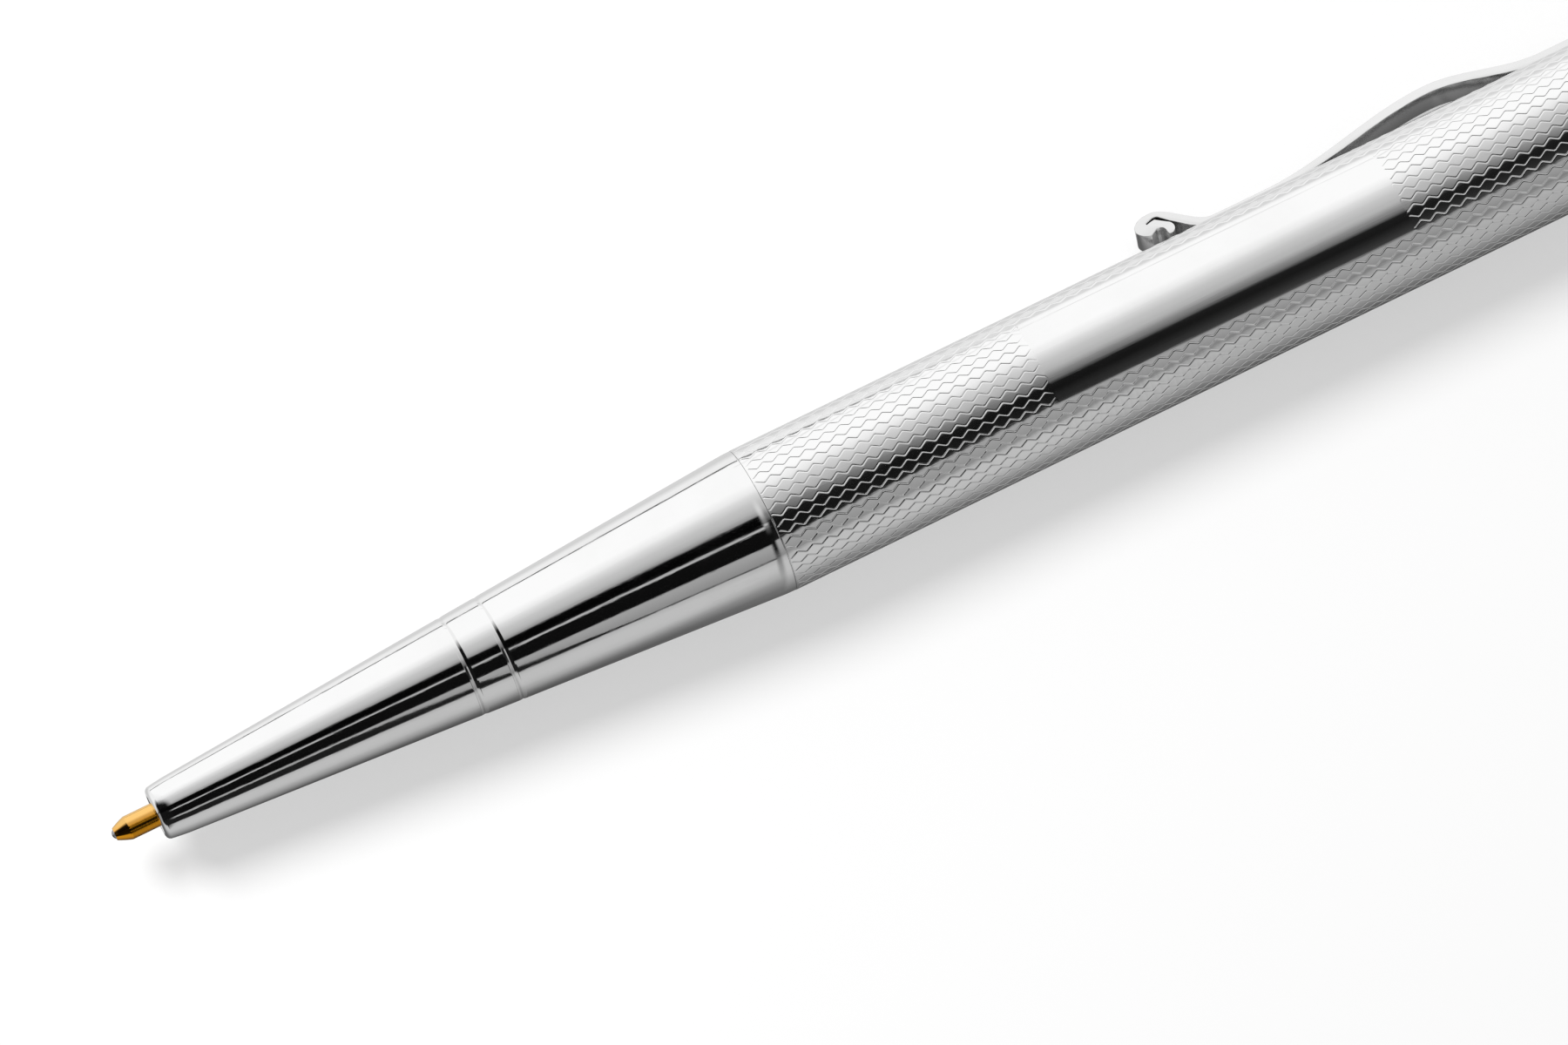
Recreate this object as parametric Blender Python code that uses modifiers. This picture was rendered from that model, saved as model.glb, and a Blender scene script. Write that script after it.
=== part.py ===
"""A slim twist-action ballpoint pen that lies on its clip, with its writing end towards -X.

The pen's axis is the X axis, and the origin is the centre of the flat face of its crown.
Turning the nose cone against the barrel drives a cross pin along a helical slot, which draws
the refill back into the nose. Lengths are in metres and angles in radians.
"""

import math

import bmesh
import bpy
from mathutils import Matrix, Vector

OBJECT_NAME = "ballpoint_pen"

# Walls and shells from the refill outwards
REFILL_TUBE_RADIUS = 0.00155
PLUNGER_WALL = 0.0006
SLEEVE_WALL = 0.00055
CAM_WALL = 0.00065
CORE_WALL = 0.0005
BARREL_WALL = 0.00055
BARREL_EDGE = 0.00015

# Nose cone
NOSE_LENGTH = 0.04776
NOSE_FRONT_WALL = 0.00093
NOSE_FRONT_EDGE = 0.0004
NOSE_WALL = 0.0006
NOSE_REAR_EDGE = 0.00035
NOSE_GROOVES = (0.02416, 0.02706)
NOSE_GROOVE_WIDTH = 0.00018
NOSE_GROOVE_DEPTH = 0.0001
NOSE_BORE_LENGTH = 0.005
INSERT_FRONT = 0.014
SLEEVE_SOCKET_DEPTH = 0.0121

# Crown and the ring that carries the clip
SEAM_GAP = 0.00025
CROWN_LENGTH = 0.0033
CROWN_DOME_LENGTH = 0.0019
CROWN_DOME_HEIGHT = 0.0021
CLIP_RING_THICKNESS = 0.001

# Clearances
SEAT_GAP = 0.0003
FIT_GAP = 0.0002
CLOSE_GAP = 0.0001
RUNNING_GAP = 0.00025
NECK_GAP = 0.00017
CUT_OVERRUN = 0.001
WELD_DISTANCE = 0.0000001

# Refill, at rest with its ball out of the nose
REFILL_REACH = 0.0034
REFILL_LENGTH = 0.09206
REFILL_TUBE_WALL = 0.0002
TIP_NECK_RADIUS = 0.00093
TIP_FRONT_RADIUS = 0.00046
TIP_CONE_LENGTH = 0.00105
TIP_NECK_LENGTH = 0.0162
TIP_FLANGE_STEP = 0.00005
TIP_FLANGE_LENGTH = 0.001
TIP_SPIGOT_LENGTH = 0.003
INK_BORE_RADIUS = 0.0004
INK_BORE_LENGTH = 0.014
BALL_RADIUS = 0.0004
BALL_SHOWN = 0.0002
BALL_SOCKET_GAP = 0.00004
PLUG_FLANGE_LENGTH = 0.0007
PLUG_SPIGOT_LENGTH = 0.0025
SPRING_WIRE_RADIUS = 0.00015
SPRING_TURNS = 7
SPRING_POINTS_PER_TURN = 10

# Twist mechanism
TRAVEL = 0.005
TWIST = math.pi
PIN_RADIUS = 0.0006
PIN_BEHIND_REFILL = 0.008
PIN_END_GAP = 0.00025
CAM_FRONT_MARGIN = 0.0055
CAM_REAR_MARGIN = 0.0051
CAM_SLOT_SPARE_ANGLE = math.radians(12)
CAM_SLOT_POINTS = 36
PLUNGER_SOCKET_DEPTH = 0.005
PLUNGER_PAST_PIN = 0.004
RETAINING_RING_LENGTH = 0.0008
SLEEVE_PAST_RING = 0.001
FRICTION_RING_BEHIND_BUSH = 0.0067

# Bush, washer and crown fixing
BUSH_LENGTH = 0.006
WASHER_THICKNESS = 0.0005
SPACE_BEHIND_SLEEVE = 0.0123
REAR_PLUG_LENGTH = 0.009
SCREW_RADIUS = 0.001
SCREW_HEAD_RADIUS = 0.0018
SCREW_HEAD_LENGTH = 0.001
SCREW_SLOT_WIDTH = 0.0005
SCREW_SLOT_DEPTH = 0.0004
SCREW_DEPTH_IN_CROWN = 0.0017

# Clip, a strip bent into a wave, its free end folded back on itself and rolled. Its places are
# distances forward of the middle of its tongue, some with the radius there.
CLIP_WIDTH = 0.0021
CLIP_GAP = 0.0001
CLIP_THICKNESSES = (
    (0.0006, 0.00058), (0.004, 0.00078), (0.018, 0.0008), (0.0265, 0.00074), (0.034, 0.00071),
    (0.0405, 0.00048), (0.0448, 0.00048), (0.0454, 0.00058), (0.0462, 0.00095),
    (0.0466, 0.00104), (0.0472, 0.001), (0.0477, 0.00092), (0.0481, 0.0007),
    (0.04835, 0.0005), (0.0487, 0.0005),
)
CLIP_TONGUE_LENGTH = 0.0026
CLIP_FULL_THICKNESS = 0.004
CLIP_REAR_CONTACT = 0.018
CLIP_PEAK = (0.0265, 0.00816)
CLIP_FRONT_CONTACT = 0.0405
CLIP_LIFT = 0.0448
CLIP_TOP = (0.0487, 0.00856)
FOLD_MIDDLE = 0.04895
FOLD_HALF_LENGTH = 0.00132
FOLD_HALF_HEIGHT = 0.00095
FOLD_END_ANGLE = math.radians(252)
SLIT_WIDTH = 0.0001
SLIT_END = (0.04924, 0.00782)
RETURN_OUTER = ((0.0491, 0.00689), (0.0488, 0.00706))
RETURN_INNER = ((0.0489, 0.00786), (0.0486, 0.0079))
CURL_OUTER_MIDDLE = (0.04862, 0.00645)
CURL_OUTER_HALF_LENGTH = 0.0004
CURL_OUTER_HALF_HEIGHT = 0.00058
CURL_MIDDLE = (0.04802, 0.00674)
CURL_HALF_LENGTH = 0.00047
CURL_HALF_HEIGHT = 0.00055
CURL_START_ANGLE = math.radians(62)
CURL_END_ANGLE = math.radians(-110)
CLIP_BEND_POINTS = 5
CLIP_WAVE_POINTS = 11
CLIP_FOLD_POINTS = 12
CLIP_CURL_POINTS = 8

SIDES = 48
INNER_SIDES = 32
FINE_SIDES = 20
ARC_STEPS = 3
SHARP_ANGLE = math.radians(32)

# Radii from the inside out
REFILL_BORE = REFILL_TUBE_RADIUS - REFILL_TUBE_WALL
REFILL_SPIGOT_RADIUS = REFILL_BORE - CLOSE_GAP
TIP_FLANGE_RADIUS = REFILL_TUBE_RADIUS - TIP_FLANGE_STEP
NOSE_BORE_RADIUS = TIP_NECK_RADIUS + NECK_GAP
NOSE_FRONT_RADIUS = NOSE_BORE_RADIUS + NOSE_FRONT_WALL
CHAMBER_RADIUS = REFILL_TUBE_RADIUS + FIT_GAP
SPRING_RADIUS = (TIP_NECK_RADIUS + CHAMBER_RADIUS) / 2
PLUNGER_RADIUS = REFILL_TUBE_RADIUS + FIT_GAP + PLUNGER_WALL
SLEEVE_BORE = PLUNGER_RADIUS + RUNNING_GAP
SLEEVE_RADIUS = SLEEVE_BORE + SLEEVE_WALL
SLEEVE_HOLE = SLEEVE_RADIUS + FIT_GAP
CAM_BORE = SLEEVE_RADIUS + RUNNING_GAP
CAM_RADIUS = CAM_BORE + CAM_WALL
CORE_BORE = CAM_RADIUS + FIT_GAP
CORE_RADIUS = CORE_BORE + CORE_WALL
BARREL_BORE = CORE_RADIUS + FIT_GAP
BARREL_RADIUS = BARREL_BORE + BARREL_WALL

# Distances behind the nose's front face, from the refill back to the crown
REFILL_REAR = REFILL_LENGTH - REFILL_REACH
PIN_REST = REFILL_REAR + PIN_BEHIND_REFILL
CAM_REAR = PIN_REST + TRAVEL + CAM_REAR_MARGIN
RETAINING_RING_FRONT = CAM_REAR + SEAT_GAP
SLEEVE_REAR = RETAINING_RING_FRONT + RETAINING_RING_LENGTH + SLEEVE_PAST_RING
SCREW_HEAD_FRONT = SLEEVE_REAR + SPACE_BEHIND_SLEEVE
REAR_PLUG_FRONT = SCREW_HEAD_FRONT + SCREW_HEAD_LENGTH + FIT_GAP
BARREL_REAR = REAR_PLUG_FRONT + REAR_PLUG_LENGTH
CLIP_RING_FRONT = BARREL_REAR + SEAT_GAP
CROWN_FRONT = CLIP_RING_FRONT + CLIP_RING_THICKNESS + SEAT_GAP
PEN_LENGTH = CROWN_FRONT + CROWN_LENGTH
CLIP_TONGUE = CLIP_RING_FRONT + CLIP_RING_THICKNESS / 2

# Distances behind the nose's front face, from the nose back into the barrel
SLEEVE_SOCKET_FLOOR = NOSE_LENGTH - SLEEVE_SOCKET_DEPTH
BARREL_FRONT = NOSE_LENGTH + SEAM_GAP
WASHER_FRONT = NOSE_LENGTH + FIT_GAP
BUSH_FRONT = WASHER_FRONT + WASHER_THICKNESS + FIT_GAP
CORE_FRONT = BUSH_FRONT + BUSH_LENGTH + SEAT_GAP
TIP_NECK_REAR = TIP_NECK_LENGTH - REFILL_REACH

# The strip's inner face where it lies on the barrel, the middle of its bend, and the direction
# that it faces when the pen rests on the barrel's lowest flat and one corner of the fold
CLIP_BEND, TONGUE_THICKNESS = CLIP_THICKNESSES[0]
CLIP_FOOT = BARREL_RADIUS + CLIP_GAP
CLIP_BEND_MIDDLE = CLIP_FOOT + TONGUE_THICKNESS / 2
CLIP_TONGUE_RADIUS = CLIP_FOOT - CLIP_TONGUE_LENGTH
FLOOR_DROP = BARREL_RADIUS * math.cos(math.pi / SIDES)
FOLD_CORNER = math.hypot(CLIP_TOP[1], CLIP_WIDTH / 2)
CLIP_DROP_ANGLE = (
    math.asin(FLOOR_DROP / FOLD_CORNER) - math.atan2(CLIP_WIDTH / 2, CLIP_TOP[1])
)


def at(distance):
    """The x of a place that lies this far behind the nose's front face."""
    return distance - PEN_LENGTH


def make_material(name, colour, metallic, roughness):
    """A Principled material of one colour."""
    material = bpy.data.materials.new(name)
    material.use_nodes = True
    shader = material.node_tree.nodes["Principled BSDF"]
    shader.inputs["Base Color"].default_value = (*colour, 1)
    shader.inputs["Metallic"].default_value = metallic
    shader.inputs["Roughness"].default_value = roughness
    material.diffuse_color = (*colour, 1)
    return material


def add_object(name, mesh, collection, material=None):
    """A new object of this mesh in a collection."""
    thing = bpy.data.objects.new(name, mesh)
    collection.objects.link(thing)
    if material:
        mesh.materials.append(material)
    return thing


def signed_area(outline):
    """The area inside an outline, positive when it turns from +X towards a larger radius."""
    following = outline[1:] + outline[:1]
    return sum(x * s - u * r for (x, r), (u, s) in zip(outline, following)) / 2


def arc(centre_x, centre_radius, length, height, start, end, steps=ARC_STEPS):
    """Points on an elliptical arc. An angle of 0 faces +X and a quarter turn faces outward."""
    return [
        (
            centre_x + length * math.cos(start + (end - start) * i / steps),
            centre_radius + height * math.sin(start + (end - start) * i / steps),
        )
        for i in range(steps + 1)
    ]


def turned(name, outline, collection, material=None, sides=SIDES):
    """A solid turned about the pen's axis from (x, radius) points, with a flat at its foot."""
    if signed_area(outline) < 0:
        outline = outline[::-1]
    ring = all(radius > 0 for x, radius in outline)
    count = len(outline)
    mesh = bpy.data.meshes.new(name)
    edges = [(i, (i + 1) % count) for i in range(count if ring else count - 1)]
    mesh.from_pydata([(x, radius, 0) for x, radius in outline], edges, [])
    thing = add_object(name, mesh, collection, material)
    thing.rotation_euler.x = math.pi / sides
    screw = thing.modifiers.new("Turn", "SCREW")
    screw.axis = "X"
    screw.steps = sides
    screw.render_steps = sides
    screw.use_merge_vertices = True
    screw.merge_threshold = WELD_DISTANCE
    return thing


def tube(name, start, length, bore, radius, collection, material, sides=SIDES, edge=0):
    """A plain tube that starts this far behind the nose's front, its outer edges rounded."""
    front, rear = at(start), at(start + length)
    outline = [(rear, bore), (front, bore)]
    if edge:
        outline += arc(front + edge, radius - edge, edge, edge, math.pi, math.pi / 2)
        outline += arc(rear - edge, radius - edge, edge, edge, math.pi / 2, 0)
    else:
        outline += [(front, radius), (rear, radius)]
    return turned(name, outline, collection, material, sides)


def as_mesh(thing):
    """Replace a curve object by a mesh object with welded caps."""
    bpy.context.view_layer.update()
    evaluated = thing.evaluated_get(bpy.context.evaluated_depsgraph_get())
    mesh = bpy.data.meshes.new_from_object(evaluated)
    body = bmesh.new()
    body.from_mesh(mesh)
    bmesh.ops.remove_doubles(body, verts=body.verts, dist=WELD_DISTANCE)
    bmesh.ops.recalc_face_normals(body, faces=body.faces)
    body.to_mesh(mesh)
    body.free()
    name, matrix, collection = thing.name, thing.matrix_world.copy(), thing.users_collection[0]
    bpy.data.objects.remove(thing)
    solid = add_object(name, mesh, collection)
    solid.name = name
    solid.matrix_world = matrix
    return solid


def wire(name, points, radius, collection, material=None, resolution=1):
    """A round wire through these points, as a curve with filled ends."""
    curve = bpy.data.curves.new(name, "CURVE")
    curve.dimensions = "3D"
    curve.bevel_depth = radius
    curve.bevel_resolution = resolution
    curve.use_fill_caps = True
    spline = curve.splines.new("POLY")
    spline.points.add(len(points) - 1)
    for point, place in zip(spline.points, points):
        point.co = (*place, 1)
    return add_object(name, curve, collection, material)


def block(name, size, centre, collection):
    """A box cutter, its scale built into its mesh."""
    mesh = bpy.data.meshes.new(name)
    body = bmesh.new()
    bmesh.ops.create_cube(body, size=1, matrix=Matrix.Diagonal((*size, 1)))
    body.to_mesh(mesh)
    body.free()
    thing = add_object(name, mesh, collection)
    thing.location = centre
    return thing


def cut(thing, cutter):
    """Cut a solid with a cutter, which stays out of the render."""
    cutter.hide_render = True
    cutter.display_type = "WIRE"
    boolean = thing.modifiers.new(cutter.name, "BOOLEAN")
    boolean.operation = "DIFFERENCE"
    boolean.object = cutter


def smooth(parts):
    """Shade the round faces of every part smooth and keep its edges sharp."""
    bpy.context.view_layer.update()
    depsgraph = bpy.context.evaluated_depsgraph_get()
    finished = [
        (thing, bpy.data.meshes.new_from_object(thing.evaluated_get(depsgraph)))
        for thing in parts.objects
        if thing.type == "MESH"
    ]
    for thing, mesh in finished:
        thing.modifiers.clear()
        mesh.name = thing.name
        thing.data = mesh
        mesh.shade_smooth()
        mesh.set_sharp_from_angle(angle=SHARP_ANGLE)


def cone_radius(distance):
    """The nose cone's outer radius this far behind its front face."""
    share = distance / NOSE_LENGTH
    return NOSE_FRONT_RADIUS + (BARREL_RADIUS - NOSE_FRONT_RADIUS) * share


def nose_shell(parts, material):
    """The silver cone, with its two turned grooves, guide bore and spring chamber."""
    outline = arc(
        at(NOSE_FRONT_EDGE), NOSE_FRONT_RADIUS - NOSE_FRONT_EDGE, NOSE_FRONT_EDGE,
        NOSE_FRONT_EDGE, math.pi, math.pi / 2,
    )
    for middle in NOSE_GROOVES:
        for side, depth in ((-1, 0), (-1, NOSE_GROOVE_DEPTH), (1, NOSE_GROOVE_DEPTH), (1, 0)):
            distance = middle + side * NOSE_GROOVE_WIDTH / 2
            outline.append((at(distance), cone_radius(distance) - depth))
    outline += arc(
        at(NOSE_LENGTH - NOSE_REAR_EDGE), BARREL_RADIUS - NOSE_REAR_EDGE, NOSE_REAR_EDGE,
        NOSE_REAR_EDGE, math.pi / 2, 0,
    )
    outline += [
        (at(NOSE_LENGTH), BARREL_RADIUS - NOSE_WALL),
        (at(INSERT_FRONT), cone_radius(INSERT_FRONT) - NOSE_WALL),
        (at(INSERT_FRONT), CHAMBER_RADIUS),
        (at(NOSE_BORE_LENGTH), CHAMBER_RADIUS),
        (at(NOSE_BORE_LENGTH), NOSE_BORE_RADIUS),
        (at(0), NOSE_BORE_RADIUS),
    ]
    return turned("nose_shell", outline, parts, material)


def nose_insert(parts, material):
    """The brass core that fills the cone and holds the drive sleeve."""
    wall = NOSE_WALL + FIT_GAP
    front = INSERT_FRONT + FIT_GAP
    outline = [
        (at(front), CHAMBER_RADIUS),
        (at(front), cone_radius(front) - wall),
        (at(NOSE_LENGTH), BARREL_RADIUS - wall),
        (at(NOSE_LENGTH), SLEEVE_HOLE),
        (at(SLEEVE_SOCKET_FLOOR), SLEEVE_HOLE),
        (at(SLEEVE_SOCKET_FLOOR), CHAMBER_RADIUS),
    ]
    return turned("nose_insert", outline, parts, material)


def drive_sleeve(parts, cutters, material):
    """The tube that turns with the nose, with a straight slot on each side for the pin."""
    front = SLEEVE_SOCKET_FLOOR + SEAT_GAP
    sleeve = tube(
        "drive_sleeve", front, SLEEVE_REAR - front, SLEEVE_BORE, SLEEVE_RADIUS, parts, material,
        INNER_SIDES,
    )
    pin_room = PIN_RADIUS + RUNNING_GAP
    size = (TRAVEL + 2 * pin_room, 2 * SLEEVE_RADIUS + CUT_OVERRUN, 2 * pin_room)
    cut(sleeve, block("sleeve_slots", size, (at(PIN_REST + TRAVEL / 2), 0, 0), cutters))
    return sleeve


def cam_tube(parts, cutters, material):
    """The fixed tube with two helical slots that turn a twist of the nose into travel."""
    front = PIN_REST - CAM_FRONT_MARGIN
    cam = tube(
        "cam_tube", front, CAM_REAR - front, CAM_BORE, CAM_RADIUS, parts, material, INNER_SIDES
    )
    middle = (CAM_BORE + CAM_RADIUS) / 2
    slot_radius = math.hypot(PIN_RADIUS + RUNNING_GAP, CAM_WALL / 2)
    whole = TWIST + 2 * CAM_SLOT_SPARE_ANGLE
    for side, start in (("near", 0), ("far", math.pi)):
        points = []
        for i in range(CAM_SLOT_POINTS + 1):
            turn = whole * i / CAM_SLOT_POINTS - CAM_SLOT_SPARE_ANGLE
            x = at(PIN_REST + TRAVEL * turn / TWIST)
            points.append((x, middle * math.cos(start + turn), middle * math.sin(start + turn)))
        cut(cam, as_mesh(wire("cam_slot_" + side, points, slot_radius, cutters, resolution=2)))
    return cam


def crossing_rod(name, radius, length, collection, material=None):
    """A round rod that lies across the axis where the pin rests."""
    mesh = bpy.data.meshes.new(name)
    body = bmesh.new()
    bmesh.ops.create_cone(
        body, cap_ends=True, segments=FINE_SIDES, radius1=radius, radius2=radius, depth=length,
        matrix=Matrix.Rotation(math.pi / 2, 4, "X"),
    )
    body.to_mesh(mesh)
    body.free()
    rod = add_object(name, mesh, collection, material)
    rod.location = (at(PIN_REST), 0, 0)
    return rod


def cross_pin(parts, material):
    """The pin that joins the plunger to both slots, lying across the axis."""
    return crossing_rod("cross_pin", PIN_RADIUS, 2 * (CAM_RADIUS - PIN_END_GAP), parts, material)


def plunger(parts, cutters, material):
    """The rod that carries the cross pin and pushes and draws the refill in its socket."""
    socket_radius = REFILL_TUBE_RADIUS + FIT_GAP
    outline = [
        (at(PIN_REST + PLUNGER_PAST_PIN), 0),
        (at(PIN_REST + PLUNGER_PAST_PIN), PLUNGER_RADIUS),
        (at(REFILL_REAR - PLUNGER_SOCKET_DEPTH), PLUNGER_RADIUS),
        (at(REFILL_REAR - PLUNGER_SOCKET_DEPTH), socket_radius),
        (at(REFILL_REAR + FIT_GAP), socket_radius),
        (at(REFILL_REAR + FIT_GAP), 0),
    ]
    rod = turned("plunger", outline, parts, material, INNER_SIDES)
    length = 2 * PLUNGER_RADIUS + CUT_OVERRUN
    cut(rod, crossing_rod("pin_hole", PIN_RADIUS + CLOSE_GAP, length, cutters))
    return rod


def refill_tip(parts, material):
    """The brass point: a socket for the ball, a cone, a long neck, a flange and a spigot."""
    tip_front = BALL_SHOWN - REFILL_REACH
    ball_centre = BALL_RADIUS - REFILL_REACH
    socket = BALL_RADIUS + BALL_SOCKET_GAP
    rim_angle = math.acos((tip_front - ball_centre) / socket)
    flange_rear = TIP_NECK_REAR + TIP_FLANGE_LENGTH
    spigot_rear = flange_rear + TIP_SPIGOT_LENGTH
    outline = [(at(ball_centre + socket), 0)]
    outline += arc(at(ball_centre), 0, socket, socket, 0, rim_angle, 2 * ARC_STEPS)[1:]
    outline += [
        (at(tip_front), TIP_FRONT_RADIUS),
        (at(tip_front + TIP_CONE_LENGTH), TIP_NECK_RADIUS),
        (at(TIP_NECK_REAR), TIP_NECK_RADIUS),
        (at(TIP_NECK_REAR), TIP_FLANGE_RADIUS),
        (at(flange_rear), TIP_FLANGE_RADIUS),
        (at(flange_rear), REFILL_SPIGOT_RADIUS),
        (at(spigot_rear), REFILL_SPIGOT_RADIUS),
        (at(spigot_rear), INK_BORE_RADIUS),
        (at(spigot_rear - INK_BORE_LENGTH), INK_BORE_RADIUS),
        (at(spigot_rear - INK_BORE_LENGTH), 0),
    ]
    return turned("refill_tip", outline, parts, material, FINE_SIDES)


def writing_ball(parts, material):
    """The hard ball in the refill's point."""
    centre = at(BALL_RADIUS - REFILL_REACH)
    outline = [(centre + BALL_RADIUS, 0)]
    outline += arc(centre, 0, BALL_RADIUS, BALL_RADIUS, 0, math.pi, 4 * ARC_STEPS)[1:-1]
    outline.append((centre - BALL_RADIUS, 0))
    return turned("writing_ball", outline, parts, material, FINE_SIDES)


def refill_tube(parts, material):
    """The refill's metal ink tube."""
    front = TIP_NECK_REAR + TIP_FLANGE_LENGTH + CLOSE_GAP
    rear = REFILL_REAR - PLUG_FLANGE_LENGTH - CLOSE_GAP
    return tube(
        "refill_tube", front, rear - front, REFILL_BORE, REFILL_TUBE_RADIUS, parts, material,
        FINE_SIDES,
    )


def refill_plug(parts, material):
    """The vented plug in the rear of the ink tube."""
    flange = REFILL_REAR - PLUG_FLANGE_LENGTH
    outline = [
        (at(REFILL_REAR), INK_BORE_RADIUS),
        (at(REFILL_REAR), TIP_FLANGE_RADIUS),
        (at(flange), TIP_FLANGE_RADIUS),
        (at(flange), REFILL_SPIGOT_RADIUS),
        (at(flange - PLUG_SPIGOT_LENGTH), REFILL_SPIGOT_RADIUS),
        (at(flange - PLUG_SPIGOT_LENGTH), INK_BORE_RADIUS),
    ]
    return turned("refill_plug", outline, parts, material, FINE_SIDES)


def return_spring(parts, material):
    """The coil round the refill's neck, between the nose's shoulder and the neck's flange."""
    front = at(NOSE_BORE_LENGTH) + SPRING_WIRE_RADIUS + CLOSE_GAP
    rear = at(TIP_NECK_REAR) - SPRING_WIRE_RADIUS - CLOSE_GAP
    steps = SPRING_TURNS * SPRING_POINTS_PER_TURN
    points = []
    for i in range(steps + 1):
        turn = math.tau * i / SPRING_POINTS_PER_TURN
        x = front + (rear - front) * i / steps
        points.append((x, SPRING_RADIUS * math.cos(turn), SPRING_RADIUS * math.sin(turn)))
    gaps = [
        (Vector(a) - Vector(b)).length - 2 * SPRING_WIRE_RADIUS
        for i, a in enumerate(points)
        for b in points[i + SPRING_POINTS_PER_TURN // 2:]
    ]
    print("return_spring least gap between turns:", round(min(gaps) * 1000, 3), "mm")
    spring = as_mesh(wire("return_spring", points, SPRING_WIRE_RADIUS, parts))
    spring.data.materials.append(material)
    return spring


def friction_ring(parts, material):
    """The rubber ring on the drive sleeve that gives the twist its drag."""
    section = (CORE_BORE - SLEEVE_RADIUS) / 2 - CLOSE_GAP
    middle = (CORE_BORE + SLEEVE_RADIUS) / 2
    x = at(CORE_FRONT + FRICTION_RING_BEHIND_BUSH)
    outline = arc(x, middle, section, section, 0, math.tau, 4 * ARC_STEPS)[:-1]
    return turned("friction_ring", outline, parts, material, INNER_SIDES)


def retaining_ring(parts, material):
    """The ring on the sleeve, behind the cam tube, that keeps the nose on the barrel."""
    return tube(
        "retaining_ring", RETAINING_RING_FRONT, RETAINING_RING_LENGTH,
        SLEEVE_RADIUS + CLOSE_GAP, CAM_RADIUS - CLOSE_GAP, parts, material, INNER_SIDES,
    )


def barrel_parts(parts, silver, brass, nylon):
    """The silver barrel, its brass core, the front bush and the washer at the seam."""
    tube(
        "barrel_shell", BARREL_FRONT, BARREL_REAR - BARREL_FRONT, BARREL_BORE, BARREL_RADIUS,
        parts, silver, edge=BARREL_EDGE,
    )
    tube("seam_washer", WASHER_FRONT, WASHER_THICKNESS, SLEEVE_HOLE, CORE_RADIUS, parts, nylon)
    tube("front_bush", BUSH_FRONT, BUSH_LENGTH, SLEEVE_HOLE, CORE_RADIUS, parts, brass)
    core_length = BARREL_REAR - CORE_FRONT
    tube("barrel_core", CORE_FRONT, core_length, CORE_BORE, CORE_RADIUS, parts, brass)


def rear_plug(parts, material):
    """The plug in the rear of the core that the crown screw passes through."""
    return tube(
        "rear_plug", REAR_PLUG_FRONT, REAR_PLUG_LENGTH, SCREW_RADIUS + FIT_GAP,
        CORE_BORE - FIT_GAP, parts, material, INNER_SIDES,
    )


def crown_screw(parts, cutters, material):
    """The screw that clamps the crown and clip ring to the rear plug from inside."""
    head_rear = SCREW_HEAD_FRONT + SCREW_HEAD_LENGTH
    outline = [
        (at(CROWN_FRONT + SCREW_DEPTH_IN_CROWN), 0),
        (at(CROWN_FRONT + SCREW_DEPTH_IN_CROWN), SCREW_RADIUS),
        (at(head_rear), SCREW_RADIUS),
        (at(head_rear), SCREW_HEAD_RADIUS),
        (at(SCREW_HEAD_FRONT), SCREW_HEAD_RADIUS),
        (at(SCREW_HEAD_FRONT), 0),
    ]
    screw = turned("crown_screw", outline, parts, material, FINE_SIDES)
    size = (2 * SCREW_SLOT_DEPTH, 2 * SCREW_HEAD_RADIUS + CUT_OVERRUN, SCREW_SLOT_WIDTH)
    cut(screw, block("screw_slot", size, (at(SCREW_HEAD_FRONT), 0, 0), cutters))
    return screw


def crown_cap(parts, material):
    """The domed end with its flat face, drilled from inside for the screw."""
    hole = SCREW_RADIUS + FIT_GAP
    hole_end = CROWN_FRONT + SCREW_DEPTH_IN_CROWN + FIT_GAP
    outline = [(at(PEN_LENGTH), 0)]
    outline += arc(
        at(PEN_LENGTH - CROWN_DOME_LENGTH), BARREL_RADIUS - CROWN_DOME_HEIGHT,
        CROWN_DOME_LENGTH, CROWN_DOME_HEIGHT, 0, math.pi / 2, 2 * ARC_STEPS,
    )
    outline += arc(
        at(CROWN_FRONT + BARREL_EDGE), BARREL_RADIUS - BARREL_EDGE, BARREL_EDGE, BARREL_EDGE,
        math.pi / 2, math.pi,
    )
    outline += [(at(CROWN_FRONT), hole), (at(hole_end), hole), (at(hole_end), 0)]
    return turned("crown_cap", outline, parts, material)


def from_tongue(height):
    """A place at the clip's tongue, this far from the axis in the direction the clip faces."""
    facing = Vector((0, math.cos(CLIP_DROP_ANGLE), -math.sin(CLIP_DROP_ANGLE)))
    return Vector((at(CLIP_TONGUE), 0, 0)) + facing * height


def clip_ring(parts, cutters, material):
    """The ring between barrel and crown, notched for the clip's tongue."""
    ring = tube(
        "clip_ring", CLIP_RING_FRONT, CLIP_RING_THICKNESS, SCREW_RADIUS + FIT_GAP,
        BARREL_RADIUS, parts, material,
    )
    inner = CLIP_TONGUE_RADIUS - SEAT_GAP
    outer = BARREL_RADIUS + CUT_OVERRUN
    size = (CLIP_RING_THICKNESS + CUT_OVERRUN, CLIP_WIDTH + 2 * SEAT_GAP, outer - inner)
    notch = block("clip_notch", size, from_tongue((inner + outer) / 2), cutters)
    notch.rotation_euler.x = -(math.pi / 2 + CLIP_DROP_ANGLE)
    cut(ring, notch)
    return ring


def eased(start, end, steps):
    """Points of an S-bend between two (distance, radius) places, level at both ends."""
    points = []
    for i in range(1, steps + 1):
        share = i / steps
        blend = share * share * (3 - 2 * share)
        points.append(
            (start[0] + (end[0] - start[0]) * share, start[1] + (end[1] - start[1]) * blend)
        )
    return points


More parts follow.
